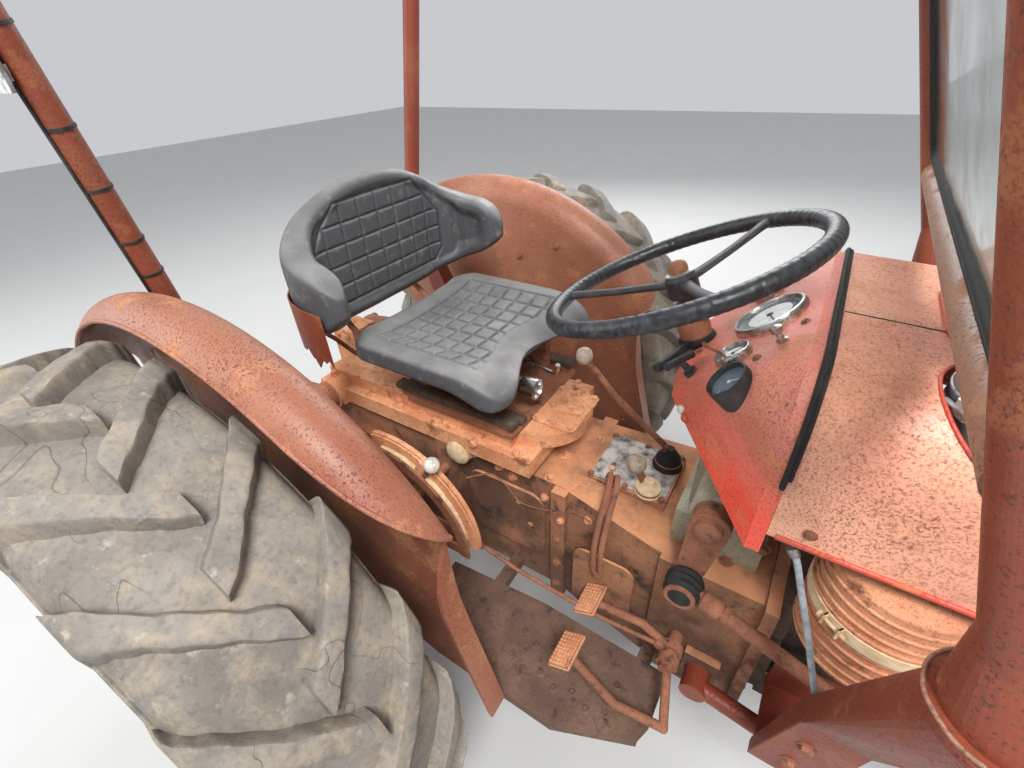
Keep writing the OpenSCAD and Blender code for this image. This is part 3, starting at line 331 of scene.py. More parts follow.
class Shape:
    """Collects the surfaces of one piece. Places are vectors in the row frame, and sizes are millimetres."""

    def __init__(self):
        self.points = []
        self.faces = []

    def skin(self, rings, loop=False, caps=True):
        """A surface through rings that all have the same number of points."""
        first, n, count = len(self.points), len(rings[0]), len(rings)
        faces = []
        for i in range(count if loop else count - 1):
            a, b = i * n, ((i + 1) % count) * n
            for k in range(n):
                m = (k + 1) % n
                faces.append((a + k, b + k, b + m, a + m))
        if caps and not loop:
            faces.append(tuple(range(n)))
            faces.append(tuple((count - 1) * n + k for k in reversed(range(n))))
        self.points += [tuple(p) for ring in rings for p in ring]
        self.faces += [tuple(first + i for i in face) for face in faces]
        return self

    def tube(self, path, radius, sides=14, loop=False, flat=1.0, side=UP):
        """A round or flattened bar along a path; radius is a number or a function of the share along it."""
        last = len(path) - 1
        across = None
        rings = []
        for i, p in enumerate(path):
            before, after = (i - 1, (i + 1) % len(path)) if loop else (max(i - 1, 0), min(i + 1, last))
            ahead = (path[after] - path[before]).normalized()
            if across is None:
                across = ahead.cross(side if abs(ahead.dot(side)) < 0.98 else ALONG_X).normalized()
            across = (across - ahead * across.dot(ahead)).normalized()
            size = radius(i / last) if callable(radius) else radius
            rings.append(circle(p, size / 1000, across, flat * across.cross(ahead), sides))
        return self.skin(rings, loop=loop)

    def turned(self, base, axis, profile, sides=40):
        """A turned form: profile lists radius and distance along the axis from base."""
        axis, side, other = square_to(axis)
        return self.skin([circle(base + axis * along / 1000, max(radius, 0.02) / 1000, side, -other, sides)
                          for radius, along in profile])

    def bolt(self, base, axis, across, height, turn=None):
        """A hexagon head on a washer, turned at random where no turn is given."""
        turn = dice.uniform(0, 1) if turn is None else turn
        self.turned(base, axis, [(across * 0.72, -1), (across * 0.74, 1.2), (across * 0.5, 2)], 16)
        axis, side, other = square_to(axis)
        return self.skin([circle(base + axis * along / 1000, across / 1900 * scale, side, -other, 6, -turn)
                          for scale, along in ((1.0, 1.8), (1.0, height * 0.8), (0.86, height))])

    def bolts_on(self, node_name, spots, direction, across, height, back=0.0):
        """Bolt heads that sit on a CAD node, found along direction from each spot."""
        direction = Vector(direction)
        for spot in spots:
            hit, place, normal, _ = nodes[node_name].ray_cast(spot - direction * back, direction)
            if hit:
                self.bolt(place, normal, across, height)

    def block(self, centre, size, turn=None, edge=1.5):
        """A block with softened edges."""
        turn = turn or Matrix.Identity(3)
        long, wide, high = (s / 2 for s in size)
        rings = []
        for z, inset in ((-high, edge), (edge - high, 0), (high - edge, 0), (high, edge)):
            x, y, e = long - inset, wide - inset, edge
            corners = [(x - e, y), (x, y - e), (x, e - y), (x - e, -y), (e - x, -y), (-x, e - y), (-x, y - e),
                       (e - x, y)]
            rings.append([centre + turn @ Vector((px, py, z)) / 1000 for px, py in corners])
        return self.skin(rings)

    def slab(self, outline, base, u, v, thick, edge=1):
        """A plate of any outline, in the plane of u and v, from base, thick along their cross product."""
        outline = [Vector(p) for p in reversed(outline)]
        middle = sum(outline, Vector((0, 0))) / len(outline)
        rings = []
        for along, inset in ((0, edge), (edge, 0), (thick - edge, 0), (thick, edge)):
            pulled = [p + (middle - p).normalized() * inset for p in outline]
            rings.append([base + (u * p.x + v * p.y + u.cross(v) * along) / 1000 for p in pulled])
        return self.skin(rings)

    def build(self, name, finish, body="chassis", sharp=38):
        mesh = bpy.data.meshes.new(name)
        mesh.from_pydata(self.points, [], self.faces)
        work = bmesh.new()
        work.from_mesh(mesh)
        bmesh.ops.recalc_face_normals(work, faces=work.faces)
        work.to_mesh(mesh)
        work.free()
        mesh.materials.append(M[finish])
        mesh.validate()
        mesh.shade_smooth()
        mesh.set_sharp_from_angle(angle=radians(sharp))
        piece = bpy.data.objects.new(name, mesh)
        bpy.context.collection.objects.link(piece)
        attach(piece, body)
        return piece


def curve(points, steps=8):
    """A smooth path through the points."""
    points = [Vector(p) for p in points]
    path = []
    for p0, p1, p2, p3 in zip([points[0]] + points, points, points[1:], points[2:] + [points[-1]]):
        for t in (k / steps for k in range(steps)):
            path.append(0.5 * (2 * p1 + (p2 - p0) * t + (2 * p0 - 5 * p1 + 4 * p2 - p3) * t * t
                               + (3 * p1 - p0 - 3 * p2 + p3) * t ** 3))
    return path + [points[-1]]


def rounded_outline(x0, x1, y0, y1, radius, steps=8, far_radius=None):
    """A rectangle's outline with rounded corners; far_radius is for the two corners at x1."""
    far = far_radius or radius
    points = []
    for x, y, r, start in ((x1 - far, y1 - far, far, 0), (x0 + radius, y1 - radius, radius, 90),
                           (x0 + radius, y0 + radius, radius, 180), (x1 - far, y0 + far, far, 270)):
        bends = [radians(start + 90 * k / steps) for k in range(steps + 1)]
        points += [(x + r * cos(a), y + r * sin(a)) for a in bends]
    return points


def smooth(t):
    t = min(1.0, max(0.0, t))
    return t * t * (3 - 2 * t)


# Tyres: the rear carcass with its broad, worn lugs, and the ribbed front tyre

LUG_COUNT, LUG_HEIGHT = 19, 0.032
TYRE_HALF = (REAR_HIGH[1] - REAR_LOW[1]) / 2
TYRE_R = (REAR_HIGH[2] - REAR_LOW[2]) / 2
BEAD_R = 0.3565
FRONT_BEAD_R = 0.2035
# Section from the bead to the crown: share of the half width, share of the height
TYRE_SECTION = [(0.80, 0.0), (0.80, 0.06), (0.84, 0.13), (0.93, 0.25), (0.985, 0.38), (1.0, 0.5),
                (0.985, 0.63), (0.95, 0.76), (0.895, 0.87), (0.80, 0.935), (0.62, 0.965), (0.4, 0.985),
                (0.2, 0.996), (0.0, 1.0)]
# Lug stations: share of the half width, drop of the top, lead in degrees, half thickness at foot and top
LUG_LINE = [(-0.12, 0.000, -2.4, 0.033, 0.0250), (0.10, 0.001, 0.3, 0.031, 0.0235),
            (0.30, 0.002, 3.2, 0.031, 0.0230), (0.50, 0.005, 6.2, 0.032, 0.0238),
            (0.70, 0.009, 9.4, 0.034, 0.0260), (0.85, 0.018, 11.8, 0.038, 0.0300),
            (0.95, 0.030, 13.4, 0.041, 0.0330), (1.00, 0.044, 14.2, 0.043, 0.0345)]
LUG_STEPS = 5
# One side of a lug's section, from its foot: share of the flank's slope, share of the half thickness, level
LUG_SIDE = [(1.0, 1.0, 0.0), (0.55, 1.0, 0.45), (0.14, 1.0, 0.86), (0.0, 0.985, 0.945), (0.0, 0.93, 0.985),
            (0.0, 0.7, 1.0), (0.0, 0.35, 1.004)]
# Front tyre: share of the half width with height over the rim, and with depth under the tread, in millimetres
FRONT_WALL = [(0.80, 0), (0.81, 12), (0.93, 45), (1.0, 75), (0.98, 105), (0.92, 128)]
FRONT_TREAD = [(0.84, 16), (0.83, 12), (0.67, 5.2), (0.655, 5.8), (0.62, 17.5), (0.46, 16), (0.42, 3),
               (0.4, 2), (0.17, 0.5), (0.155, 1), (0.13, 15.5), (0.11, 15.5), (0.09, 0.5), (0.0, 0)]


def add_rear_tyre(side, sign):
    low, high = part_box(f"rear_tyre_{side}")
    middle_y = (low[1] + high[1]) / 2
    crown = TYRE_R - LUG_HEIGHT

    def place(radius, angle, across):
        return Vector((AXLE_X + radius * cos(angle), middle_y + sign * across, AXLE_Z + radius * sin(angle)))

    half = curve([(w * TYRE_HALF, BEAD_R + h * (crown - BEAD_R), 0) for w, h in TYRE_SECTION], 3)
    inner = 0.8 * TYRE_HALF - 0.012
    section = [(p.x, p.y) for p in half] + [(-p.x, p.y) for p in reversed(half[:-1])]
    section += [(-inner, BEAD_R + 0.0005), (inner, BEAD_R + 0.0005)]
    rings = [[place(r, a, w) for w, r in section][::sign] for a in reversed(angles(160))]
    carcass = Shape().skin(rings, loop=True)
    for out in (-1, 1):
        for w, r in ((0.865, 0.408), (0.985, 0.452), (0.965, 0.53)):
            carcass.tube([place(r, a, out * w * TYRE_HALF) for a in angles(96)], 2.8, 8, loop=True)
    body = f"rear_wheel_{side}"
    carcass.build(f"rear_tyre_carcass_{side}", "tyre", body)
    stations = []
    for a, b in zip(LUG_LINE, LUG_LINE[1:]):
        stations += [[x + (y - x) * k / LUG_STEPS for x, y in zip(a, b)] for k in range(LUG_STEPS)]
    stations.append(LUG_LINE[-1])
    flanks = [(-1, q) for q in LUG_SIDE] + [(1, q) for q in reversed(LUG_SIDE)]
    lugs = Shape()
    for half_side in (-1, 1):
        for i in range(LUG_COUNT):
            start = -pi / 2 - (i + (0.5 if half_side < 0 else 0)) * 2 * pi / LUG_COUNT
            worn = dice.uniform(0.0, 0.004)
            wander = dice.uniform(-0.4, 0.4)
            rings = []
            for j, (share, drop, lead, foot, top) in enumerate(stations):
                along = j / (len(stations) - 1)
                end = min(1.0, along / 0.06 + 0.2, (1 - along) / 0.05 + 0.2)
                r_top = TYRE_R - drop - worn - 0.004 * (1 - end)
                r_foot = crown - 0.014 - 0.095 * max(0.0, (share - 0.78) / 0.22) ** 1.4
                ring = []
                for flank, (slope, part, level) in flanks:
                    chips = 0.0016 * sin(17 * along + i * 1.7 + flank)
                    chips += 0.0012 * sin(41 * along + i * 3.1 - flank)
                    width = (top + (foot - top) * slope) * part * (0.93 + 0.07 * end)
                    r = r_foot + (r_top - r_foot) * level
                    a = flank * (width + chips) / r + radians(lead + wander * along)
                    ring.append(place(r, start + a, half_side * share * TYRE_HALF))
                rings.append(ring[::-half_side * sign])
            lugs.skin(rings)
    piece = lugs.build(f"rear_tyre_lugs_{side}", "tyre", body, sharp=50)
    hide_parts(f"rear_tyre_{side}")


def add_front_tyre(side):
    low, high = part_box(f"front_tyre_{side}")
    x, y, z = ((a + b) / 2 for a, b in zip(low, high))
    radius, half_w = (high[2] - low[2]) / 2, (high[1] - low[1]) / 2
    half = [(w * half_w, FRONT_BEAD_R + h / 1000) for w, h in FRONT_WALL]
    half += [(w * half_w, radius - d / 1000) for w, d in FRONT_TREAD]
    profile = [(-w, r) for w, r in half[:-1]] + half[::-1]
    shape = Shape().skin([[Vector((x + r * cos(a), y + w, z + r * sin(a))) for w, r in profile]
                          for a in reversed(angles(120))], loop=True)
    piece = shape.build(f"front_tyre_ribbed_{side}", "tyre", f"front_wheel_{side}", sharp=50)
    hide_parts(f"front_tyre_{side}")


for side, sign in SIDES.items():
    add_rear_tyre(side, sign)
    add_front_tyre(side)


# Seat: moulded vinyl, with squares pressed into the cushion and the back

PAN_Z, SEAT_TOP = 1.030, 1.080
CUSHION_X, CUSHION_LONG, CUSHION_HALF = 0.078, 0.39, 0.226
CUSHION_GRID_X, CUSHION_GRID_Y = (0.118, 0.412), 0.176
# Backrest stations: place along it, turn in degrees, low edge, high edge, thickness
BACK_STATIONS = [(0.0, 0, 1.084, 1.384, 0.060), (0.25, 4, 1.084, 1.376, 0.060),
                 (0.5, 16, 1.088, 1.344, 0.060), (0.7, 42, 1.100, 1.306, 0.068),
                 (0.86, 66, 1.122, 1.282, 0.066), (1.0, 84, 1.146, 1.268, 0.060),
                 (1.06, 88, 1.164, 1.246, 0.034)]
BACK_END, BACK_SPREAD, BACK_BEND = 1.06, 0.35, 0.5
BACK_GRID_W, BACK_GRID_Z = 0.218, (1.126, 1.346)
GROOVE_DEPTH, GRID_FADE = 0.0048, 0.006
# Where along the cushion its front end starts to close, and the share of the steps spent behind that
NOSE_FROM, NOSE_STEPS_FROM = 0.86, 0.8


def groove(distance, width):
    """Depth share of a rounded groove at a distance from its middle."""
    return exp(-(distance / (width * 0.5)) ** 2)


def squares(across, half, columns, along, span, rows, width):
    """Depth share of a grid of evenly spaced grooves, columns by rows."""
    depth = 0.0
    for value, low, high, count in ((across, -half, half, columns), (along, *span, rows)):
        step = (high - low) / count
        k = min(count, max(0, round((value - low) / step)))
        depth = max(depth, groove(value - (low + k * step), width))
    return depth


def rounded(power_across, power_up, top_count, side_count, low_count):
    """A rounded section, counter-clockwise from the right: over the top, down the side and back below."""
    flat = 0.94

    def other(value, power, wanted):
        return max(0.0, 1 - abs(value) ** power) ** (1 / wanted)
    corner = other(flat, power_across, power_up)
    points = []
    for sign, count in ((1, top_count), (-1, low_count)):
        for k in range(count + 1):
            across = sign * (flat - 2 * flat * k / count)
            points.append((across, sign * other(across, power_across, power_up)))
        for k in range(1, side_count):
            up = sign * (corner - 2 * corner * k / side_count)
            points.append((-sign * other(up, power_up, power_across), up))
    return points


def add_cushion():
    """A saddle with a raised rim, pressed squares and a front that hangs in two lobes over an arch."""
    section = rounded(5.0, 4.2, 176, 22, 30)
    rings = []
    steps = 200
    for v in (i / steps for i in range(steps + 1)):
        if v < NOSE_STEPS_FROM:
            u = v * NOSE_FROM / NOSE_STEPS_FROM
        else:
            u = NOSE_FROM + (1 - NOSE_FROM) * sin(pi / 2 * (v - NOSE_STEPS_FROM) / (1 - NOSE_STEPS_FROM))
        x = CUSHION_X + CUSHION_LONG * u
        ends = 1 - (1 - min(1, u / 0.10)) ** 2.4 * 0.12
        front = smooth((u - 0.66) / 0.30)
        roll = smooth((u - 0.74) / 0.26) ** 1.3
        nose = sqrt(max(0.0, 1 - max(0.0, (u - NOSE_FROM) / (1 - NOSE_FROM)) ** 2))
        w = CUSHION_HALF * ends * (1 - 0.03 * front - 0.17 * (1 - nose))
        ring = []
        for across_share, up_share in section:
            y = w * across_share
            across = abs(y) / CUSHION_HALF
            saddle = 0.030 * across ** 2.2 - 0.026 + 0.006 * smooth((across - 0.62) / 0.2)
            saddle += 0.014 * smooth((0.16 - u) / 0.16) * (1 - across ** 2)
            lobe = 1 - exp(-(across / 0.55) ** 4)
            recess = 0.062 * (1 - smooth(across / 0.78)) * smooth((u - 0.40) / 0.6)
            top = SEAT_TOP + 0.014 + saddle - roll * 0.022
            bottom = min(PAN_Z + 0.001 + front * (0.030 * (1 - lobe) - 0.034 * lobe), top - 0.016)
            z = (top + bottom) / 2 + (top - bottom) / 2 * up_share * (0.06 + 0.94 * nose)
            if up_share > 0.6:
                low, high = CUSHION_GRID_X
                inside = smooth((x - low) / GRID_FADE + 1) * smooth((high - x) / GRID_FADE + 1)
                inside *= smooth((0.82 - u) / 0.03) * smooth((CUSHION_GRID_Y - abs(y)) / GRID_FADE + 1)
                lines = squares(y, CUSHION_GRID_Y, 8, x - recess, CUSHION_GRID_X, 7, 0.0065)
                z += inside * (0.0020 * (1 - lines) - GROOVE_DEPTH * lines)
            ring.append(at(x - recess, y, z))
        rings.append(ring)
    middle = sum(rings[0], Vector()) / len(section)
    tail = [[middle + (p - middle) * share + ALONG_X * shift for p in rings[0]]
            for share, shift in ((0.9, -0.007), (0.95, -0.0055), (0.985, -0.003))]
    piece = Shape().skin([ring[::-1] for ring in tail + rings]).build("seat_cushion_vinyl", "vinyl", sharp=80)
    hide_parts("seat_cushion")


def back_line(t):
    """Middle of the backrest in plan for t from -BACK_END to BACK_END."""
    size = abs(t)
    past = max(0.0, size - BACK_BEND)
    y = BACK_SPREAD * (size - past) + 0.096 * sin(radians(min(90, past * 180)))
    return at(-0.018 + 0.590 * past ** 2, copysign(y, t), 0)


def back_station(t):
    """Turn, low edge, high edge and thickness of the backrest at t, smooth through the stations."""
    size = min(abs(t), BACK_END)
    first, last = BACK_STATIONS[1], BACK_STATIONS[-1]
    rows = [(-first[0], *first[1:])] + BACK_STATIONS + [last]
    for before, a, b, after in zip(rows, rows[1:], rows[2:], rows[3:]):
        if size <= b[0]:
            break
    long = b[0] - a[0]
    share = (size - a[0]) / long
    values = []
    for p0, p, q, p3 in zip(before[1:], a[1:], b[1:], after[1:]):
        leave = (q - p0) / (b[0] - before[0]) * long
        reach = (p3 - p) / max(after[0] - a[0], long) * long
        bend = leave * share * (1 - share) ** 2 - reach * share ** 2 * (1 - share)
        values.append(p + (q - p) * smooth(share) + bend)
    return values


def panel_depth(along, z):
    """How far a point lies inside the backrest's pressed panel, a rectangle with cut corners."""
    low, high = BACK_GRID_Z
    side = BACK_GRID_W - abs(along)
    return min(side, z - low, high - z, (side + high - z - 0.095) * 0.7071, (side + z - low - 0.03) * 0.7071)


def add_backrest():
    """A wrapped back with a pressed panel of squares with cut corners, and arms with a rolled rim."""
    section = rounded(6.7, 3.6, 150, 16, 40)
    rings = []
    steps = 330
    for t in (BACK_END * (2 * i / steps - 1) for i in range(steps + 1)):
        turn, low, high, thick = back_station(t)
        angle = radians(turn) * (-1 if t > 0 else 1)
        out = Vector((cos(angle), sin(angle), 0))
        left = BACK_END + 0.002 - abs(t)
        cap, tip = (sqrt(max(0.02, 1 - (1 - min(1.0, left / reach)) ** 2)) for reach in (0.13, 0.05))
        along = t * BACK_SPREAD
        ring = []
        for up, ahead in section:
            z = (low + high) / 2 + (high - low) / 2 * up * (0.28 + 0.72 * cap)
            lean = 0.0
            if ahead > 0.3:
                edge_z = min(z - low, high - z)
                lean -= 0.009 * smooth((edge_z - 0.016) / 0.022) * smooth((0.86 - abs(t)) / 0.1)
                arm = smooth((abs(t) - 0.72) / 0.08) * smooth((1.0 - abs(t)) / 0.08)
                lean -= 0.012 * smooth((edge_z - 0.022) / 0.03) * arm * (z > low)
                depth = panel_depth(along, z)
                lines = squares(along, BACK_GRID_W, 8, z, BACK_GRID_Z, 5, 0.0062) * smooth(depth / 0.004)
                lean += 0.0018 * smooth(depth / 0.006) - GROOVE_DEPTH * max(groove(depth, 0.007), lines)
            ring.append(back_line(t) + out * (thick / 2 * ahead * tip + lean) + UP * z)
        rings.append(ring)
    piece = Shape().skin(rings).build("seat_back_vinyl", "vinyl", sharp=80)
    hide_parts("seat_back")


add_cushion()
add_backrest()


# Steering wheel: taped rim, three spokes, dome nut, and the column's collar and boot

WHEEL_R, WHEEL_RIM_R = 0.222, 0.0145
RIM_STEPS, TAPE_WRAPS = 720, 92
COLUMN_TILT = radians(23.7)
WHEEL_AT = mm(705, 0, 1280)
COLUMN = Vector((-sin(COLUMN_TILT), 0, cos(COLUMN_TILT)))
WHEEL_U = Vector((cos(COLUMN_TILT), 0, sin(COLUMN_TILT)))


def add_steering_wheel():
    rings = []
    for k, a in enumerate(angles(RIM_STEPS)):
        lap = (k * TAPE_WRAPS / RIM_STEPS) % 1
        r = WHEEL_RIM_R * (0.93 + 0.07 * (1 - lap) ** 0.7) * (1 + 0.006 * sin(a * 7))
        out = cos(a) * WHEEL_U + sin(a) * ALONG_Y
        rings.append(circle(WHEEL_AT + WHEEL_R * out, r, out, COLUMN, 18))
    piece = Shape().skin(rings, loop=True).build("steering_rim_taped", "tape", "steering_wheel", sharp=70)
    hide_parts("steering_wheel")
    spokes = Shape()
    for degrees in (60, 180, 300):
        out = cos(radians(degrees)) * WHEEL_U + sin(radians(degrees)) * ALONG_Y
        path = [WHEEL_AT + (out * r + COLUMN * along) / 1000
                for r, along in ((18, -20), (50, -18.5), (120, -12), (190, -3), (216, 0))]
        spokes.tube(curve(path, 6), lambda s: 13.5 - 3 * sin(pi * s), 18, flat=0.6, side=COLUMN)
    spokes.turned(WHEEL_AT, COLUMN, [(10, -46), (24, -45), (27, -41), (27, -12), (22, -6), (12, -4)], 48)
    spokes.build("steering_spokes", "black", "steering_wheel")
    washer = Shape().turned(WHEEL_AT, COLUMN, [(10, -6), (23, -5.5), (23.5, -3), (19, -2)])
    washer.build("steering_washer", "zinc", "steering_wheel")
    dome = Shape()
    dome.turned(WHEEL_AT, COLUMN, [(12, -3), (16.5, -2), (16.5, 6), (14.5, 12.5), (9, 16.5), (0, 18)], 6)
    dome.turned(WHEEL_AT, COLUMN, [(12, 4), (14.2, 6.5), (12.5, 12.5), (7, 16.5), (0, 18.5)], 32)
    dome.build("steering_dome_nut", "steel", "steering_wheel", sharp=50)
    shaft = Shape().turned(WHEEL_AT, COLUMN, [(11.5, -139), (11.5, -44)], 32)
    shaft.build("steering_shaft", "steel", "steering_wheel")
    for name, finish, profile in (
            ("collar", "zinc", [(14.2, 48), (22, 46), (23.8, 42), (23.8, 18), (22.5, 14), (14.2, 13)]),
            ("band", "steel", [(24.2, 13.5), (26.2, 12), (27.5, 0), (27, -18), (24.6, -20)]),
            ("boot", "seal", [(24.6, -17), (30, -20), (32.5, -26), (30, -32), (33, -38), (40.5, -45),
                              (43, -52), (41, -58)])):
        Shape().turned(WHEEL_AT - COLUMN * 0.1, COLUMN, profile, 48).build(f"column_{name}", finish)


add_steering_wheel()


# The photograph's view, for pieces whose place comes from a pixel

CAMERA_AT = at(0.894, -0.79, 1.599)
YAW, PITCH, ROLL = (radians(a) for a in (124.27, -35.0, -3.11))
CAMERA_LENS, SENSOR = 16.9, 36.0
PHOTO_W, PHOTO_H = 1024, 768
CAMERA_AHEAD = Vector((cos(YAW) * cos(PITCH), sin(YAW) * cos(PITCH), sin(PITCH)))
LEVEL_RIGHT = CAMERA_AHEAD.cross(UP).normalized()
LEVEL_TOP = LEVEL_RIGHT.cross(CAMERA_AHEAD)
CAMERA_RIGHT = cos(ROLL) * LEVEL_RIGHT + sin(ROLL) * LEVEL_TOP
CAMERA_TOP = -sin(ROLL) * LEVEL_RIGHT + cos(ROLL) * LEVEL_TOP


def ray_to(px, py):
    """The direction from the camera through a pixel of the photograph."""
    focal = CAMERA_LENS / SENSOR * PHOTO_W
    ray = CAMERA_AHEAD * focal + CAMERA_RIGHT * (px - PHOTO_W / 2) - CAMERA_TOP * (py - PHOTO_H / 2)
    return ray.normalized()


def seen(pixel, *names):
    """Where the camera's ray through a pixel first meets one of the CAD nodes, and the normal there."""
    hits = []
    for name in names:
        hit, place, normal, _ = nodes[name].ray_cast(CAMERA_AT, ray_to(*pixel))
        if hit:
            hits.append(((place - CAMERA_AT).length, place, normal))
    return min(hits, key=lambda found: found[0])[1:]


def at_depth(px, py, y):
    """The point on a pixel's ray that lies in the plane at y, in millimetres."""
    direction = ray_to(px, py)
    return CAMERA_AT + direction * ((y / 1000 - CAMERA_AT.y) / direction.y)


# Dash: gauges, levers, knobs and screws

DASH_SLOPE = Vector((-0.616, 0, 0.788))


def add_gauge(name, pixel, radius, marks, needle, height=12, swept=120, bezel="chrome", centre="dial"):
    """A round gauge that sits on the dash: bezel, dark ring, face, marks and needle."""
    place, normal = seen(pixel, "dash")
    normal = (normal + DASH_SLOPE * 1.5).normalized()
    for part, finish, sides, profile in (
            ("bezel", bezel, 72, [(0.98, -20 / height), (1, 1 / height), (1, 0.6), (0.965, 1), (0.9, 1.02),
                                  (0.86, 0.72), (0.85, 0.3)]),
            ("ring", "dial_dark", 72, [(0.2, 0.3), (0.855, 0.3), (0.855, 0.5), (0.6, 0.5)]),
            ("face", centre, 64, [(0.2, 0.4), (0.6, 0.4), (0.6, 0.53), (0, 0.53)])):
        profile = [(r * radius, h * height) for r, h in profile]
        Shape().turned(place, normal, profile, sides).build(f"{name}_{part}", finish)
    side = normal.cross(ALONG_Y).normalized()
    level = height * 0.5 + 0.3
    ticks = Shape()

    def tick(degrees, along, rise, size, edge):
        a = radians(degrees)
        out = -side * cos(a) + ALONG_Y * sin(a)
        turn = Matrix((out, normal.cross(out), normal)).transposed()
        ticks.block(place + (out * radius * along + normal * rise) / 1000, size, turn, edge)
    for k in range(marks):
        along, long = (0.70, 0.18) if k % 5 == 0 else (0.73, 0.1)
        tick(-swept + 2 * swept * k / (marks - 1), along, level, (radius * long, radius * 0.024, 0.4), 0.1)
    tick(needle, 0.28, level + 1.4, (radius * 0.66, radius * 0.04, 0.6), 0.2)
    hub = [(radius * 0.09, 0), (radius * 0.09, 2.6), (radius * 0.05, 3.2)]
    ticks.turned(place + normal * height * 0.42 / 1000, normal, hub, 24)
    ticks.build(f"{name}_marks", "black" if centre == "dial" else "white")


def add_dash_controls():
    place, normal = seen((691, 372), "dash")
    lever = Shape().turned(place, normal, [(10.5, -4), (10.5, 4), (6, 6), (4.8, 26)], 24)
    across = (ALONG_Y * 0.93 + ALONG_X * 0.36).normalized()
    bar = [place + normal * 0.028 + across * d / 1000 for d in (-30, -24, 0, 24, 30)]
    lever.tube(bar, lambda s: 5.6 + 1.4 * abs(2 * s - 1)).build("t_lever", "black")
    low = WHEEL_AT - COLUMN * 0.122
    path = [low + Vector(p) / 1000 for p in ((-4, -26, 0), (-10, -50, -1), (-20, -82, -6), (-28, -104, -10))]
    arm = Shape().tube(curve(path, 6), lambda s: 4.2 + 2.2 * s, flat=0.7)
    arm.turned(path[-1], (-0.2, -0.9, -0.1), [(4, -4), (8.5, 0), (9.5, 8), (7, 14), (0, 16)], 24)
    arm.build("throttle_arm", "black")
    place, normal = seen((730, 362), "dash")
    lever = Shape().turned(place, normal, [(6, -2), (6, 6), (4, 8)], 20)
    path = [place + normal * 0.004, place + normal * 0.018 + Vector((-0.004, -0.006, 0)),
            place + normal * 0.034 + Vector((-0.016, -0.020, 0.004))]
    lever.tube(curve(path, 6), lambda s: 3.6 + 1.4 * s, 12, flat=0.5).build("dash_small_lever", "steel")
    button = [(7, -3), (7.5, 4), (4.5, 7), (0, 7.5)]
    for name, finish, pixel, sides, profile in (
            ("dash_knob", "chrome", (783, 341), 28, [(7.5, -4), (8, 3), (5, 5), (4.5, 12), (8, 15), (8.5, 22),
                                                     (4, 25), (0, 25.5)]),
            ("button_red", "red", (686, 418), 24, button), ("button_white", "white", (682, 409), 24, button)):
        Shape().turned(*seen(pixel, "dash"), profile, sides).build(name, finish)
    screws = Shape()
    for pixel in ((713, 392), (752, 297), (806, 322), (757, 358), (700, 352), (789, 306)):
        screws.bolt(*seen(pixel, "dash"), 9, 4)
    screws.build("dash_screws", "steel")


add_gauge("gauge_big", (772, 318), 55, 31, -70, swept=100)
add_gauge("gauge_small", (735, 357), 27, 11, 30)
add_gauge("gauge_black", (733, 386), 31, 7, -20, 17, bezel="black", centre="dial_dark")
add_gauge("gauge_far", (770, 295), 25, 11, 10)
add_dash_controls()


# Bonnet: seals, beads, bolts and the filler flap

HOOD_REAR_X, HOOD_FRONT_X = 0.94, 1.96
HOOD_W, HOOD_TOP, HOOD_SIDE, HOOD_R = 0.54, 1.287, 0.24, 0.095
FLAP = rounded_outline(1.058, 1.362, -0.103, 0.103, 0.048, 12, 0.02)
FLAP_MIDDLE, FLAP_HINGE_X = 1.21, 1.376


def hood_z(x):
    return HOOD_TOP - 0.03 * (x - HOOD_REAR_X) / (HOOD_FRONT_X - HOOD_REAR_X)


def hood_outline(x, proud, depth):
    """Points round the bonnet's section, from its right side over the top to its left side."""
    half = HOOD_W / 2 - 0.015 * (x - HOOD_REAR_X) / (HOOD_FRONT_X - HOOD_REAR_X)
    top = hood_z(x)
    low, reach = depth - HOOD_R, HOOD_R + proud

    def corner(y, start):
        bends = [radians(start - 90 * k / 12) for k in range(13)]
        return [at(x, y + reach * cos(a), top - HOOD_R + reach * sin(a)) for a in bends]
    points = [at(x, -half - proud, top - depth + low * k / 8) for k in range(8)]
    points += corner(HOOD_R - half, 180)
    points += [at(x, (HOOD_R - half) * (1 - k / 4), top + proud) for k in range(1, 8)]
    points += corner(half - HOOD_R, 90)
    return points + [at(x, half + proud, top - HOOD_R - low * k / 8) for k in range(1, 9)]


def add_hood_trim():
    seal = Shape().tube(hood_outline(HOOD_REAR_X - 0.003, 0.0005, 0.15), 7.2, 10, flat=0.55, side=ALONG_X)
    seal.tube(hood_outline(HOOD_REAR_X + 0.0015, 0.0022, 0.135), 3.2, 8).build("bonnet_seal", "seal")
    seam = [at(x, -0.060, hood_z(x) + 0.0002) for x in (0.946 + 0.112 * k / 6 for k in range(7))]
    Shape().tube(seam, 1.6, 8, flat=0.35).build("bonnet_seam", "seal")
    low = hood_z(1.0) - HOOD_SIDE + 0.004
    lip = Shape()
    for side in (1, -1):
        lip.tube([at(x, side * (-0.2705 + 0.0147 * (x - HOOD_REAR_X)), low - 0.0294 * (x - 1.0))
                  for x in (0.95, 1.1, 1.3, 1.6, 1.95)], 4.4, 10)
    lip.build("bonnet_lower_bead", "red")
    bolts = Shape()
    for side in (-1, 1):
        spots = [at(x, side * 0.27, hood_z(x) - HOOD_SIDE + 0.028) for x in (0.985, 1.24, 1.5, 1.76, 1.92)]
        bolts.bolts_on("hood", spots, (0, -side, 0), 12, 5, 0.1)
    bolts.build("bonnet_bolts", "steel")


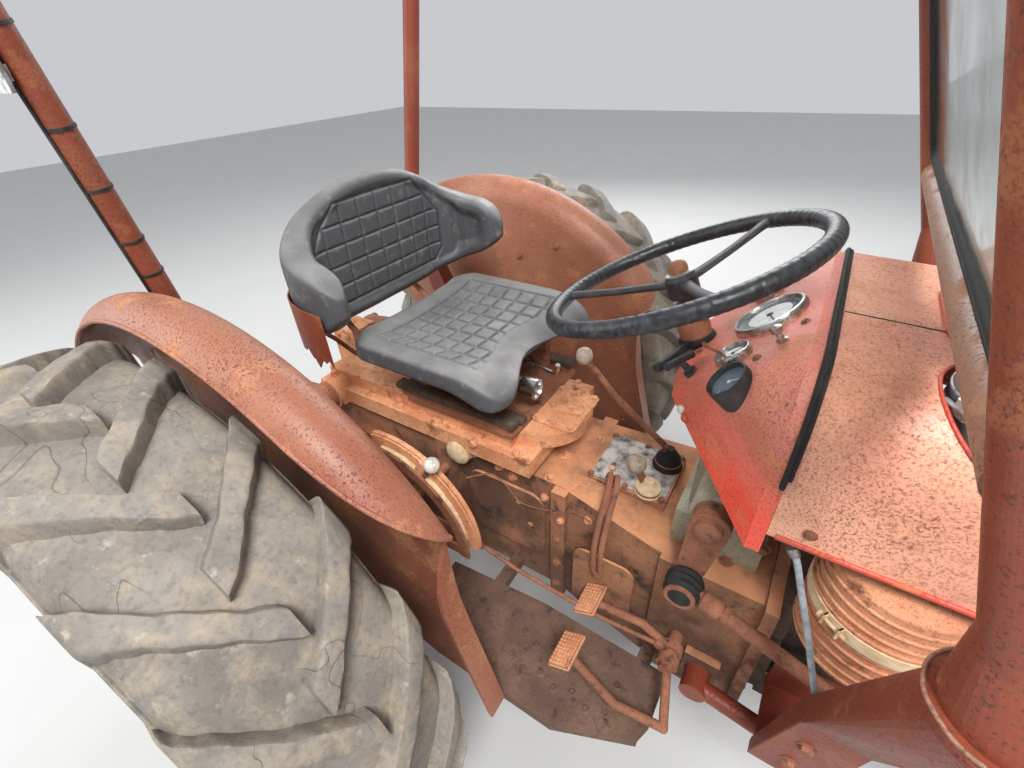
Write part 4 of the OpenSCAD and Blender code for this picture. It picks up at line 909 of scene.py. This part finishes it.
def add_flap():
    """The filler flap: a thin crowned plate with rounded corners and a rolled lip."""
    rings = []
    for inset, height in ((3, 0.8), (0, 1.6), (0, 5.2), (2.4, 7.8), (7, 8.8), (20, 9.2), (50, 9.8)):
        ring = []
        for x, y in FLAP:
            share = 1 - inset / 1000 / hypot(x - FLAP_MIDDLE, y)
            x = FLAP_MIDDLE + (x - FLAP_MIDDLE) * share
            ring.append(at(x, y * share, hood_z(x) + height / 1000))
        rings.append(ring)
    piece = Shape().skin(rings).build("filler_flap_plate", "hood", "filler_lid", sharp=50)
    lip = Shape().tube([at(x, y, hood_z(x) + 0.0034) for x, y in FLAP[13:39]], 3.4, 10)
    lip.build("filler_flap_lip", "red", "filler_lid")
    z = hood_z(FLAP_HINGE_X) + 0.008
    hinge = Shape().turned(at(FLAP_HINGE_X, -0.040, z), ALONG_Y, [(6.8, 0), (7, 1), (7, 79), (6.8, 80)], 28)
    hinge.block(at(1.3665, 0, z - 0.0035), (14, 78, 4)).build("filler_flap_hinge", "steel", "filler_lid")
    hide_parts("filler_flap")


# Intake stack and air cleaner

STACK = mm(1115, -190, 0)
STACK_HOLE_R = 0.0715


def on_stack(radius, degrees, z):
    """A place beside the stack's axis, and the turn of a block that faces outwards there."""
    turn = Matrix.Rotation(radians(degrees), 3, "Z")
    return STACK + turn @ Vector((radius, 0, z)) / 1000, turn


def add_stack():
    sleeve = [(46.2, 1170), (60.5, 1172), (61.2, 1200), (60.4, 1250), (60.8, 1292), (59.2, 1298),
              (46.8, 1299)]
    Shape().turned(STACK, UP, sleeve, 56).build("stack_sleeve", "grey")
    wires = Shape()
    for z in (1.268, 1.284):
        wires.tube(circle(STACK + UP * z, 0.0618, ALONG_X, ALONG_Y, 64), 1.8, 8, loop=True)
    buckle, turn = on_stack(64, 215, 1276)
    wires.block(buckle, (6, 20, 22), turn, 2)
    wires.turned(buckle + turn @ Vector((0.002, -0.02, 0)), turn @ ALONG_Y, [(3, 0), (3, 42)], 14)
    wires.build("stack_clamps", "zinc")
    ring = circle(STACK, STACK_HOLE_R, ALONG_X, ALONG_Y, 72)
    for p in ring:
        out = max(0.0, abs(p.y) - (HOOD_W / 2 - HOOD_R))
        p.z = hood_z(p.x - AXLE_X) - HOOD_R + sqrt(max(0.0, HOOD_R ** 2 - out ** 2))
    Shape().tube(ring, 2.1, 8, loop=True).build("stack_hole_edge", "red")
    pipe = [(44.5, 1278), (53.5, 1298), (51.5, 1318), (47.5, 1378), (46.6, 1418), (46.6, 1620), (49, 1622),
            (49, 1640), (46.6, 1642), (46.6, 1697.5), (43, 1697.8), (43, 1660)]
    Shape().turned(STACK, UP, pipe, 56).build("stack_pipe", "stack")


def add_air_cleaner():
    rings = Shape()
    for z, r in ((828, 92.5), (846, 92.5), (868, 93), (888, 93), (952, 93), (972, 93), (990, 92.5)):
        rings.tube(circle(STACK + UP * z / 1000, r / 1000, ALONG_X, ALONG_Y, 64), 2.6, 8, loop=True)
    rings.turned(STACK, UP, [(91.5, 998), (90.5, 1006), (80, 1013), (60, 1018), (46.5, 1020)], 64)
    rings.turned(STACK, UP, [(40, 806), (75, 808), (88, 814), (92.5, 822)], 64)
    rings.build("air_cleaner_beads", "drum")
    band = [(95.5, 911), (97.2, 912), (97.6, 917), (97.6, 928), (97.2, 933), (95.5, 934)]
    clamp = Shape().turned(STACK, UP, band, 72)
    spot, turn = on_stack(101, 232, 922.5)
    across = turn @ ALONG_Y
    for shift in (0.012, -0.012):
        clamp.block(spot + across * shift, (12, 4, 21), turn)
    clamp.turned(spot - across * 0.021, across, [(5.5, 0), (5.5, 6), (3, 6.5), (3, 42)], 14)
    clamp.build("air_cleaner_clamp", "cream")


add_hood_trim()
add_flap()
add_stack()
add_air_cleaner()


# Cab frame: plugs, clips, the cable along the post, and the windscreen

BAR_Z, TOP_BAR_Z, POST_X, POST_Y = 1.366, 2.0075, 1.041, 0.48
POST_LEAN = radians(20.15)
TUBE_R = 0.0225


def rear_post(z):
    """Middle of the right rear post at a height."""
    return at(-0.266 + 0.094 * (z - 1.2), -0.393 - 0.129 * (z - 1.2), z)


def add_windscreen():
    up = Vector((-sin(POST_LEAN), 0, cos(POST_LEAN)))
    out = up.cross(ALONG_Y)
    base = at(POST_X, 0, BAR_Z)
    half = POST_Y - TUBE_R - 0.001
    low, high = TUBE_R + 0.001, (TOP_BAR_Z - BAR_Z) / cos(POST_LEAN) - TUBE_R - 0.001
    turn = Matrix((out, ALONG_Y, up)).transposed()
    size = (5, 2000 * half - 36, 1000 * (high - low) - 36)
    piece = Shape().block(base + up * (low + high) / 2, size, turn, 1).build("windscreen_pane", "glass")
    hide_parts("windscreen")
    outline = rounded_outline(0.011 - half, half - 0.011, low + 0.011, high - 0.011, 0.03)
    path = [base + ALONG_Y * y + up * z for y, z in outline]
    gasket = Shape().tube(path, 10.5, 16, loop=True, flat=0.75, side=out)
    for side in (-1, 1):
        gasket.tube([p + out * side * 0.006 for p in path], 3.5, 8, loop=True)
    gasket.build("windscreen_gasket", "seal")


def add_post_details():
    clips = Shape()
    axis = rear_post(2) - rear_post(1)
    for z in (1.25, 1.32, 1.42, 1.52, 1.66, 1.8):
        clips.turned(rear_post(z), axis, [(22.8, 0), (24.3, 0.6), (24.3, 5.2), (22.8, 6)], 36)
    clips.build("post_clips", "black")
    beside = Vector((0.006, -TUBE_R - 0.0022, 0))
    path = [rear_post(z) + beside for z in (1.205, 1.25, 1.32, 1.42, 1.52, 1.6, 1.7)]
    Shape().tube(curve(path, 4), 3, 10).build("post_lead", "black")
    place = seen((985, 318), "cab_bars")[0]
    out = (place - at(POST_X, place.y, BAR_Z)).normalized()
    plug = [(6.6, -2), (6.8, 6), (6.2, 7.5), (4.5, 8), (4.5, 5)]
    Shape().turned(place, out, plug, 24).build("bar_plug", "black")
    welds = Shape()
    for side in (-1, 1):
        foot = at(1.1079, side * 0.474, 1.1725)
        ring = [foot + Vector((49.5 * cos(a), 49.5 * sin(a), 0.6 * sin(9 * a))) / 1000 for a in angles(96)]
        welds.tube(ring, 1.8, 8, loop=True)
    welds.build("post_foot_welds", "bar")
    bolts = Shape()
    for side in (-1, 1):
        spots = [at(x, side * 0.9, z) for x, z in ((1.06, 1.09), (1.13, 1.09), (1.085, 0.72), (1.085, 0.62))]
        bolts.bolts_on("cab_sides", spots, (0, -side, 0), 19, 9)
    bolts.build("leg_bolts", "steel")


add_windscreen()
add_post_details()


# Fenders: crown with a tapering front end and a rolled bead, inner plate and folded edge

FENDER_Y, FENDER_SHEET = 0.440, 0.003
CROWN_R, CROWN_K = 0.602, 0.060
CROWN_FRONT, CROWN_REAR = 33, 141
FRONT_TAPER, REAR_TAPER = 27, 9
# Front and lower edge of the inner plate, in metres
PLATE_EDGE = [(0.507, 0.935), (0.505, 0.90), (0.508, 0.777), (0.588, 0.470), (0.420, 0.470), (0.150, 0.545),
              (-0.150, 0.545), (-0.330, 0.700)]
# Front edge of a fender's inner sheet: x, height and width of the folded flange
FLANGE = [(0.503, 0.925, 0.006), (0.5045, 0.88, 0.026), (0.5075, 0.83, 0.041), (0.512, 0.78, 0.046),
          (0.530, 0.70, 0.046), (0.558, 0.59, 0.046), (0.590, 0.469, 0.046)]


def crown_point(side, degrees, share, off=0.0):
    """A point of the crown: share 0 is the inner plate's top edge, 1 the outer edge over the tyre."""
    bend = radians(90 - 150 * share)
    k = CROWN_K - off
    r = CROWN_R + k * cos(bend)
    a = radians(degrees)
    return at(r * cos(a), side * (FENDER_Y + CROWN_K - k * sin(bend)), AXLE_Z + r * sin(a))


def crown_reach(degrees):
    """How much of the crown's section is there: all of it, but for the rounded ends."""
    front = min(1.0, max(0.0, (degrees - CROWN_FRONT) / FRONT_TAPER))
    rear = min(1.0, max(0.0, (CROWN_REAR - degrees) / REAR_TAPER))
    return (0.06 + 0.94 * sqrt(1 - (1 - front) ** 2)) * (0.45 + 0.55 * sqrt(1 - (1 - rear) ** 2))


def add_fenders():
    shells = Shape()
    beads = Shape()
    first, last = CROWN_FRONT + FRONT_TAPER, CROWN_REAR - REAR_TAPER
    steps = [CROWN_FRONT + FRONT_TAPER * (k / 36) ** 1.6 for k in range(36)]
    steps += [first + (last - first) * k / 70 for k in range(70)]
    steps += [CROWN_REAR - REAR_TAPER * (1 - k / 16) ** 1.6 for k in range(17)]
    bends = [radians(d) for d in range(CROWN_REAR, CROWN_FRONT, -3)]
    arc = [(CROWN_R * cos(a), AXLE_Z + CROWN_R * sin(a)) for a in bends]
    outline = [(x * 1000, z * 1000) for x, z in arc + PLATE_EDGE]
    for side in (-1, 1):
        rings = []
        for degrees in steps:
            shares = [crown_reach(degrees) * k / 22 for k in range(23)]
            under = [crown_point(side, degrees, share, FENDER_SHEET) for share in reversed(shares)]
            rings.append([crown_point(side, degrees, share) for share in shares] + under)
        shells.skin(rings)
        beads.tube([crown_point(side, d, crown_reach(d), 0.0012) for d in steps], 4.2, 12)
        shells.slab(outline, at(0, -FENDER_Y if side < 0 else FENDER_Y + 0.004, 0), ALONG_X, UP, 4)
        near = side * (FENDER_Y + (0.001 if side < 0 else 0.005))
        flange = []
        for k in range(25):
            row, share = min(k // 4, 5), k / 4 - min(k // 4, 5)
            x, z, wide = (p + (q - p) * share for p, q in zip(FLANGE[row], FLANGE[row + 1]))
            far = near + side * wide
            section = ((-0.004, near), (-0.004, far), (0.004, far), (0.004, near))
            flange.append([at(x + off, y, z) for off, y in section])
        shells.skin(flange)
    piece = shells.build("fender_shells", "fender", sharp=45)
    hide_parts("fenders")
    beads.build("fender_beads", "fender")
    bolts = Shape()
    for side in (-1, 1):
        for degrees, r in ((64, 0.552), (88, 0.548), (112, 0.552), (76, 0.46), (100, 0.46)):
            a = radians(degrees)
            bolts.bolt(at(r * cos(a), side * FENDER_Y, AXLE_Z + r * sin(a)), (0, -side, 0), 16, 8)
        for x, z in ((0.47, 0.66), (0.50, 0.56), (0.36, 0.53)):
            bolts.bolt(at(x, side * FENDER_Y, z), (0, -side, 0), 14, 7)
    bolts.build("fender_bolts", "steel")


add_fenders()


# Backbone: cover plate, bolts, gear levers, seat adjuster and the small linkages beside it

DOWN, RIGHT = (0, 0, -1), (0, -1, 0)


def add_cover_details():
    plate = Shape().slab(rounded_outline(452, 556, -72, 72, 20), mm(0, 0, 904.5), ALONG_X, ALONG_Y, 7.5)
    plate.slab([(462, -34), (545, -12), (545, 12), (462, 34)], mm(0, 0, 911.5), ALONG_X, ALONG_Y, 5, 2)
    plate.build("cover_plate", "lift")
    bolts = Shape()
    for x, y in ((462, -62), (462, 62), (546, -62), (546, 62), (504, -64), (504, 64)):
        bolts.bolt(mm(x, y, 911.5), UP, 15, 8)
    for x, y in ((478, -14), (490, 16), (518, -4), (533, 12)):
        bolts.bolt(mm(x, y, 916), UP, 13, 10)
    for pixel in ((422, 413), (446, 425), (474, 443), (499, 466), (400, 400), (513, 476), (550, 478),
                  (566, 456)):
        bolts.bolt(*seen(pixel, "lift_cover", "transmission"), 17, 9)
    for pixel in ((545, 497), (575, 487), (600, 440), (588, 520), (532, 522), (612, 470), (560, 520),
                  (520, 500)):
        bolts.bolt(*seen(pixel, "lift_cover", "transmission"), 15, 8)
    spots = [mm(x, y, 1200) for x in (-120, 0, 120, 240, 360, 460) for y in (-153, 153)]
    bolts.bolts_on("lift_cover", spots, DOWN, 18, 11, 0.1)
    bolts.build("cover_bolts", "lift")
    case = Shape()
    spots = [(x, z) for x in (250, 562) for z in (470, 560, 650, 740)]
    spots += [(999, z) for z in (450, 540, 630, 720)]
    for x, z in spots:
        for side in (-1, 1):
            case.bolts_on("transmission", [mm(x, side * 300, z)], (0, -side, 0), 17, 10)
    for pixel in ((763, 548), (726, 561), (749, 540)):
        case.bolt(*seen(pixel, "steering_box", "transmission"), 19, 11)
    spots = [mm(x, y, 1000) for x in (600, 680, 760) for y in (-60, 85)]
    case.bolts_on("transmission", spots, DOWN, 13, 8, 0.1)
    case.build("case_bolts", "steel")
    covers = Shape().slab(rounded_outline(300, 520, 530, 740, 40), at(0, -0.1275, 0), ALONG_X, UP, 8)
    covers.slab(rounded_outline(620, 760, 500, 700, 30), at(0, -0.1775, 0), ALONG_X, UP, 6)
    covers.build("case_side_covers", "gearbox")


def add_gear_levers():
    plate = Shape().slab(rounded_outline(598, 766, -64, 90, 12), mm(0, 0, 802.2), ALONG_X, ALONG_Y, 3)
    plate.build("lever_plate", "stain")
    collar = [(27.5, 0), (28, 4), (24.5, 6), (24.5, 10), (27.2, 12), (26.5, 16.5), (19, 19), (12.5, 26),
              (10.2, 34)]
    Shape().turned(mm(727, -50, 804.2), UP, collar).build("gear_lever_collar", "cream")
    ball = [(8.5, -21.5), (16.5, -16.5), (20.8, -6), (21.4, 0), (20.6, 2.4), (20.7, 3.6), (17.8, 12.5),
            (10.5, 18.6), (0, 20.8)]
    knobs = Shape().turned(mm(694, -46, 868), UP, ball)
    knobs.turned(mm(520, 50, 1032), UP, [(r * 0.9, z * 0.9) for r, z in ball], 36)
    knobs.build("lever_knobs", "knob")
    boot = [(32.5, 0), (33, 8), (30.5, 15), (26.5, 23), (27, 27), (20.5, 36), (12.2, 48), (9.8, 53)]
    Shape().turned(mm(738, 48, 803.2), UP, boot, 36).build("gear_lever_boot", "seal")


def add_seat_parts():
    knob = [(17.5, 0), (19.5, 2), (21.5, 10), (23.5, 36), (23.5, 40), (20.8, 41), (18.5, 36), (16.5, 18),
            (0, 17)]
    chrome = Shape().turned(mm(424, -62, 990), ALONG_X, knob, 48)
    path = [mm(380, 20, 992), mm(425, 20, 990), mm(462, 14, 988), mm(474, 8, 1000), mm(478, 4, 1020)]
    chrome.tube(curve(path, 6), lambda t: 4.2 + 1.6 * smooth((t - 0.7) / 0.3))
    chrome.build("seat_adjuster_knob", "chrome")
    battens = Shape()
    for y, wide, z in ((-137, 30, 939.2), (-99, 22, 923.2), (137, 30, 939.2)):
        battens.block(mm(285, y, z), (335, wide, 16), edge=2)
    battens.build("seat_battens", "wood")
    rings = []
    for k in range(33):
        t = -1.02 + 0.50 * k / 32
        turn = radians(back_station(t)[0])
        out = Vector((-cos(turn), -sin(turn), 0))
        low = 1.085 + 0.055 * smooth(k / 32) + 0.012 * sin(k * 0.9) + 0.007 * sin(k * 2.3)
        rings.append([back_line(t) + out * off + UP * z
                      for off, z in ((0.041, 1.20), (0.041, low), (0.0385, low), (0.0385, 1.20))])
    Shape().skin(rings).build("seat_wing_shell", "frame")
    stay = [mm(100, -128, 1018), mm(75, -190, 1030), mm(55, -232, 1090), mm(35, -262, 1130)]
    Shape().tube(curve(stay, 6), 5, 12).build("seat_wing_stay", "steel")


def add_linkages():
    a, b = at_depth(443, 523, -270), at_depth(483, 546, -262)
    ahead = (b - a).normalized()
    side = ahead.cross(UP).normalized()
    turns, per = 18, 14
    path = []
    for k in range(turns * per + 1):
        bend = 2 * pi * k / per
        off = cos(bend) * side + sin(bend) * side.cross(ahead)
        path.append(a + (b - a) * (k / (turns * per)) + 0.0078 * off)
    Shape().tube(path, 1.7, 8).build("brake_spring", "steel")
    rods = Shape().tube([b - ahead * 0.01, b + ahead * 0.004, at_depth(518, 570, -252),
                         at_depth(600, 617, -240), mm(840, -225.5, 575)], 4.8, 12)
    rods.tube([mm(115, -272, 715), a + ahead * 0.008], 5, 12)
    rods.turned(mm(115, -262, 715), RIGHT, [(16, 0), (16.5, 3), (16.5, 15), (12, 18)], 24)
    rods.turned(mm(840, -219, 575), RIGHT, [(11, 0), (11.5, 2), (11.5, 10), (8, 13)], 24)
    for shift in (0, 16):
        strap = [mm(x + shift, y, z) for x, y, z in (
            (640, -60, 812), (652, -82, 848), (664, -118, 848), (668, -160, 806), (670, -190, 740),
            (672, -192, 672), (674, -188, 640))]
        rods.tube(curve(strap), 6.2, 12, flat=0.55)
    rods.build("side_rods", "steel")
    pins = Shape().bolt(mm(682, -183.5, 648), RIGHT, 18, 12, turn=0.3)
    pins.bolt(mm(648, -58, 804.8), UP, 16, 12, turn=0.3).build("side_rod_pins", "steel")
    path = [at_depth(*p) for p in ((466, 478, -200), (490, 474, -160), (505, 484, -145), (520, 502, -140),
                                   (545, 510, -140), (575, 513, -140), (590, 522, -150))]
    Shape().tube(curve(path), 1.8, 8).build("thin_steel_line", "steel")
    cap = [(40, 0), (41, 4), (34, 8), (32, 40), (26, 46), (10, 48)]
    Shape().turned(mm(300, -127, 812), RIGHT, cap, 36).build("shaft_cap", "cream")
    dial = [(17, -6), (17.5, 4), (14.5, 6), (13.5, 4), (5, 4), (4, 6), (0, 6.5)]
    Shape().turned(mm(285, -352, 862), (0.1, -0.9, 0.35), dial, 32).build("quadrant_dial", "white")


def arc_band(shape, y, inner, outer, thick, first, last):
    """A band along the quadrant's arc, between two angles in degrees."""
    rings = []
    for k in range(49):
        a = radians(first + (last - first) * k / 48)
        rings.append([mm(255 + r * cos(a), at_y, 745 + r * sin(a))
                      for r, at_y in ((inner, y), (outer, y), (outer, y + thick), (inner, y + thick))])
    shape.skin(rings)


def add_quadrant_trim():
    """Bands laid over the two slotted arcs, the pale scale strip, the stop and the white knob."""
    wide = Shape()
    for y, inner, outer, thick in ((-307.2, 182, 207.5, 4), (-319, 179.5, 207, 4), (-313, 203.5, 208.5, 7)):
        arc_band(wide, y, inner, outer, thick, -4, 104)
    wide.build("quadrant_band", "lift")
    strip = Shape()
    arc_band(strip, -338.8, 183.5, 185.5, 19.5, 4, 96)
    strip.build("quadrant_scale", "cream")
    knob = [(7, -15), (13.5, -10), (16.2, 0), (14.5, 8), (8, 14.2), (0, 16)]
    Shape().turned(mm(384, -329, 952), (0.45, -0.6, 0.66), knob, 32).build("quadrant_knob", "white")
    turn = Matrix.Rotation(radians(32), 3, "Y")
    Shape().block(mm(352, -324, 925), (26, 12, 34), turn).build("quadrant_stop", "lift")


def add_steering_trim():
    for side, sign in SIDES.items():
        out = (0, sign, 0)
        link = f"drag_link_{side}"
        boot = [(20, 3), (31, 6), (33.5, 12), (30, 18), (33.5, 24), (30, 31), (32.5, 38), (28.5, 46),
                (20, 52), (8, 56)]
        Shape().turned(mm(856, sign * 203, 800), out, boot).build(f"ball_joint_boot_{side}", "seal", link)
        start = mm(878, sign * 230, 798)
        ahead = (mm(1800, sign * 415, 700) - start).normalized()
        nuts = Shape().turned(start + ahead * 0.012, ahead, [(14, 0), (17.5, 3), (17.5, 30), (14.5, 36)], 24)
        nuts.turned(start + ahead * 0.05, ahead, [(12.8, 0), (15, 1), (15, 10), (12.8, 11)], 6)
        nuts.build(f"drag_link_nuts_{side}", "steel", link)
        hub = [(30, 0), (31, 3), (22, 5), (21.5, 16), (17, 19), (0, 19.5)]
        nut = Shape().turned(mm(870, sign * 208.5, 950), out, hub, 36)
        nut.build(f"drop_arm_nut_{side}", "steel", f"drop_arm_{side}")


def add_conduit():
    """The pale steel conduit from under the bonnet down the engine's side, clamped at both ends."""
    path = [at_depth(*p) for p in ((792, 548, -262), (797, 562, -268), (801, 590, -278), (807, 630, -292),
                                   (813, 680, -305), (819, 730, -316), (822, 766, -322))]
    path += [mm(1125, -300, 600), mm(1122, -285, 575)]
    Shape().tube(curve(path), 4.6).build("side_conduit", "cable")
    clips = Shape()
    clips.turned(path[0], path[1] - path[0], [(5, -1), (7.5, 0), (7.5, 12), (5, 13)], 20)
    clips.turned(path[5], path[6] - path[5], [(5, 0), (7.2, 0), (7.2, 10), (5, 10)], 20)
    clips.turned(path[-1], path[-2] - path[-1], [(5, -3), (8.5, -2), (8.5, 12), (5, 13)], 20)
    clips.build("side_conduit_clips", "zinc")


def add_floor_and_pedals():
    lips = Shape()
    for side in (-1, 1):
        for i in range(7):
            for j in range(2):
                spot = mm(560 + i * 38, side * (300 + j * 60 + (i % 2) * 14), 471)
                lips.turned(spot, UP, [(3.4, -3), (4, 2.2), (5.2, 2.8), (9.8, -0.5)], 20)
        for _ in range(26):
            x, y = dice.uniform(0.48, 0.80), side * dice.uniform(0.25, 0.40)
            lips.turned(at(x, y, 0.471), UP, [(4, -0.4), (3.2, 1), (1.4, 1.6), (0, 1.7)], 10)
    lips.build("footplate_lips", "floor")
    pads = Shape()
    turn = Matrix.Rotation(radians(-28), 3, "Y")
    for x, y in ((684, -222), (690, -346), (684, 250)):
        middle = mm(x, y, 602)
        for i in range(6):
            for j in range(9):
                spot = turn @ Vector((-19.5 + 7.8 * i, -32 + 8 * j, 6.2)) / 1000
                pads.block(middle + spot, (5.2, 5.4, 3), turn, 0.6)
        pads.block(middle + turn @ Vector((0, 0, 0.0004)), (50.4, 78.4, 10.2), turn, 3)
    pads.build("pedal_treads", "drum")


add_cover_details()
add_gear_levers()
add_seat_parts()
add_linkages()
add_quadrant_trim()
add_steering_trim()
add_conduit()
add_floor_and_pedals()


# Lamps, radiator cap, the engine's small parts and the tyre valves

def add_lamp_glass():
    for side in (-1, 1):
        middle = mm(2062, side * 345, 1010)
        number = side + 2
        bezel = [(88.5, -12), (90.5, -6), (90.5, 2), (86, 6), (80, 5), (78.5, 1)]
        Shape().turned(middle, ALONG_X, bezel, 64).build(f"headlamp_bezel_{number}", "chrome")
        lens = [(78.5, -1), (78.6, 2), (70, 6), (55, 9.5), (35, 12.5), (15, 13.8), (0.5, 14)]
        rings = [[middle + Vector((along + 0.6 * sin(a * 18), r * cos(a), r * sin(a))) / 1000
                  for a in angles(96)] for r, along in lens]
        Shape().skin(rings, caps=False).build(f"headlamp_lens_{number}", "lens")
        bowl = [(77.5, -4), (77.5, -6), (60, -9), (0, -9.5)]
        Shape().turned(middle, ALONG_X, bowl, 48).build(f"headlamp_bowl_{number}", "reflector")
    centre = Vector((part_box("lamps")[0][0], rear_post(1.612).y - TUBE_R - 0.0096, 1.740))
    for part, finish, profile in (
            ("rim", "black", [(58.5, -12), (60.5, -8), (60.5, 0.6), (57, 1.2), (52.5, -1)]),
            ("lens", "lens", [(52.5, -6), (52.5, -4), (40, -2), (20, -0.6), (0, -0.2)])):
        Shape().turned(centre, -ALONG_X, profile, 48).build(f"work_lamp_{part}", finish)


def add_engine_parts():
    cap = [(30, 0), (34.5, 1), (34.5, 12), (28, 16), (12, 18), (12, 24), (0, 24.5)]
    Shape().turned(mm(1820, 0, 1208.5), UP, cap, 36).build("radiator_cap", "zinc")
    bolts = Shape()
    bolts.bolts_on("engine", [mm(x, 0, 1300) for x in (1130, 1250, 1370, 1490, 1560)], DOWN, 16, 12)
    spots = [mm(x, y, 1300) for x in (1270, 1360, 1450, 1540) for y in (-90, 90)]
    bolts.bolts_on("engine", spots, DOWN, 18, 12)
    for x in (1050, 1180, 1310, 1440, 1560):
        for side in (-1, 1):
            bolts.bolts_on("engine", [mm(x, side * 400, 500)], (0, -side, 0), 14, 8)
    bolts.build("engine_bolts", "steel")
    leads = Shape()
    for k, x in enumerate((1280, 1350, 1430, 1500)):
        path = [mm(1262 + 12 * (k - 1.5), -150, 920), mm(1272 + 20 * (k - 1), -154, 950 + 4 * k),
                mm(x - 20, -143, 963), mm(x, -119, 945)]
        leads.tube(curve(path, 6), 3.6, 10)
        leads.turned(mm(x, -125, 945), ALONG_Y, [(6, 0), (7.5, 3), (7.5, 13)], 14)
    leads.build("plug_leads", "black")
    fins = Shape()
    for k in range(26):
        fins.block(mm(1797.3, -195 + 15.6 * k, 895), (3, 2.2, 400), edge=0.4)
    fins.build("radiator_fins", "black")


def add_valves():
    profile = [(5.5, 0), (6, 12), (4.2, 14), (4.2, 34), (5, 35), (5, 45), (3, 47)]
    for side, sign in SIDES.items():
        for wheel, radius, out in (("rear", 335, 80), ("front", 178, 30)):
            low, high = (Vector(corner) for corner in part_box(f"{wheel}_rim_{side}"))
            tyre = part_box(f"{wheel}_tyre_{side}")
            spot = (low + high) / 2 + radius / 1000 * Vector((cos(pi / 3), 0, sin(pi / 3)))
            spot.y = (tyre[0][1] + tyre[1][1]) / 2 + sign * out / 1000
            valve = Shape().turned(spot, (0, sign, 0), profile, 16)
            valve.build(f"{wheel}_valve_{side}", "black", f"{wheel}_wheel_{side}")


add_lamp_glass()
add_engine_parts()
add_valves()


# Camera, light and floor

def add_camera():
    data = bpy.data.cameras.new("camera")
    data.lens = CAMERA_LENS
    data.clip_start = 0.02
    camera = bpy.data.objects.new("camera", data)
    camera.matrix_world = Matrix((CAMERA_RIGHT, CAMERA_TOP, -CAMERA_AHEAD)).transposed().to_4x4()
    camera.location = CAMERA_AT
    bpy.context.collection.objects.link(camera)
    bpy.context.scene.camera = camera


def add_lamp(name, place, target, size, watts):
    data = bpy.data.lights.new(name, "AREA")
    data.size = size
    data.energy = watts
    lamp = bpy.data.objects.new(name, data)
    lamp.location = place
    lamp.rotation_euler = (Vector(target) - Vector(place)).to_track_quat("-Z", "Y").to_euler()
    bpy.context.collection.objects.link(lamp)


def add_floor():
    """A wide pale floor that keeps the tractor's shadow."""
    size = 14
    corners = [(-size, -size, 0), (size, -size, 0), (size, size, 0), (-size, size, 0)]
    mesh = bpy.data.meshes.new("floor")
    mesh.from_pydata(corners, [], [(0, 1, 2, 3)])
    f = Finish("pale_floor", roughness=0.9)
    mesh.materials.append(f.done(f.blend(f.noise(3), (196, 196, 194), (204, 204, 202))))
    floor = bpy.data.objects.new("floor", mesh)
    bpy.context.collection.objects.link(floor)


add_camera()
add_floor()
add_lamp("key", (1.6, -2.6, 5.2), (0, 0, 0.8), 1.6, 330)
add_lamp("fill", (-4.2, -2.4, 2.8), (0, 0, 0.7), 3.5, 90)
add_lamp("rim", (-1.5, 4.4, 3.6), (0, 0, 0.8), 3.0, 150)
world = bpy.data.worlds.new("studio")
bpy.context.scene.world = world
world.use_nodes = True
background = world.node_tree.nodes["Background"].inputs
background["Color"].default_value = (0.93, 0.95, 1, 1)
background["Strength"].default_value = 0.62
bpy.context.scene.view_settings.view_transform = "Standard"
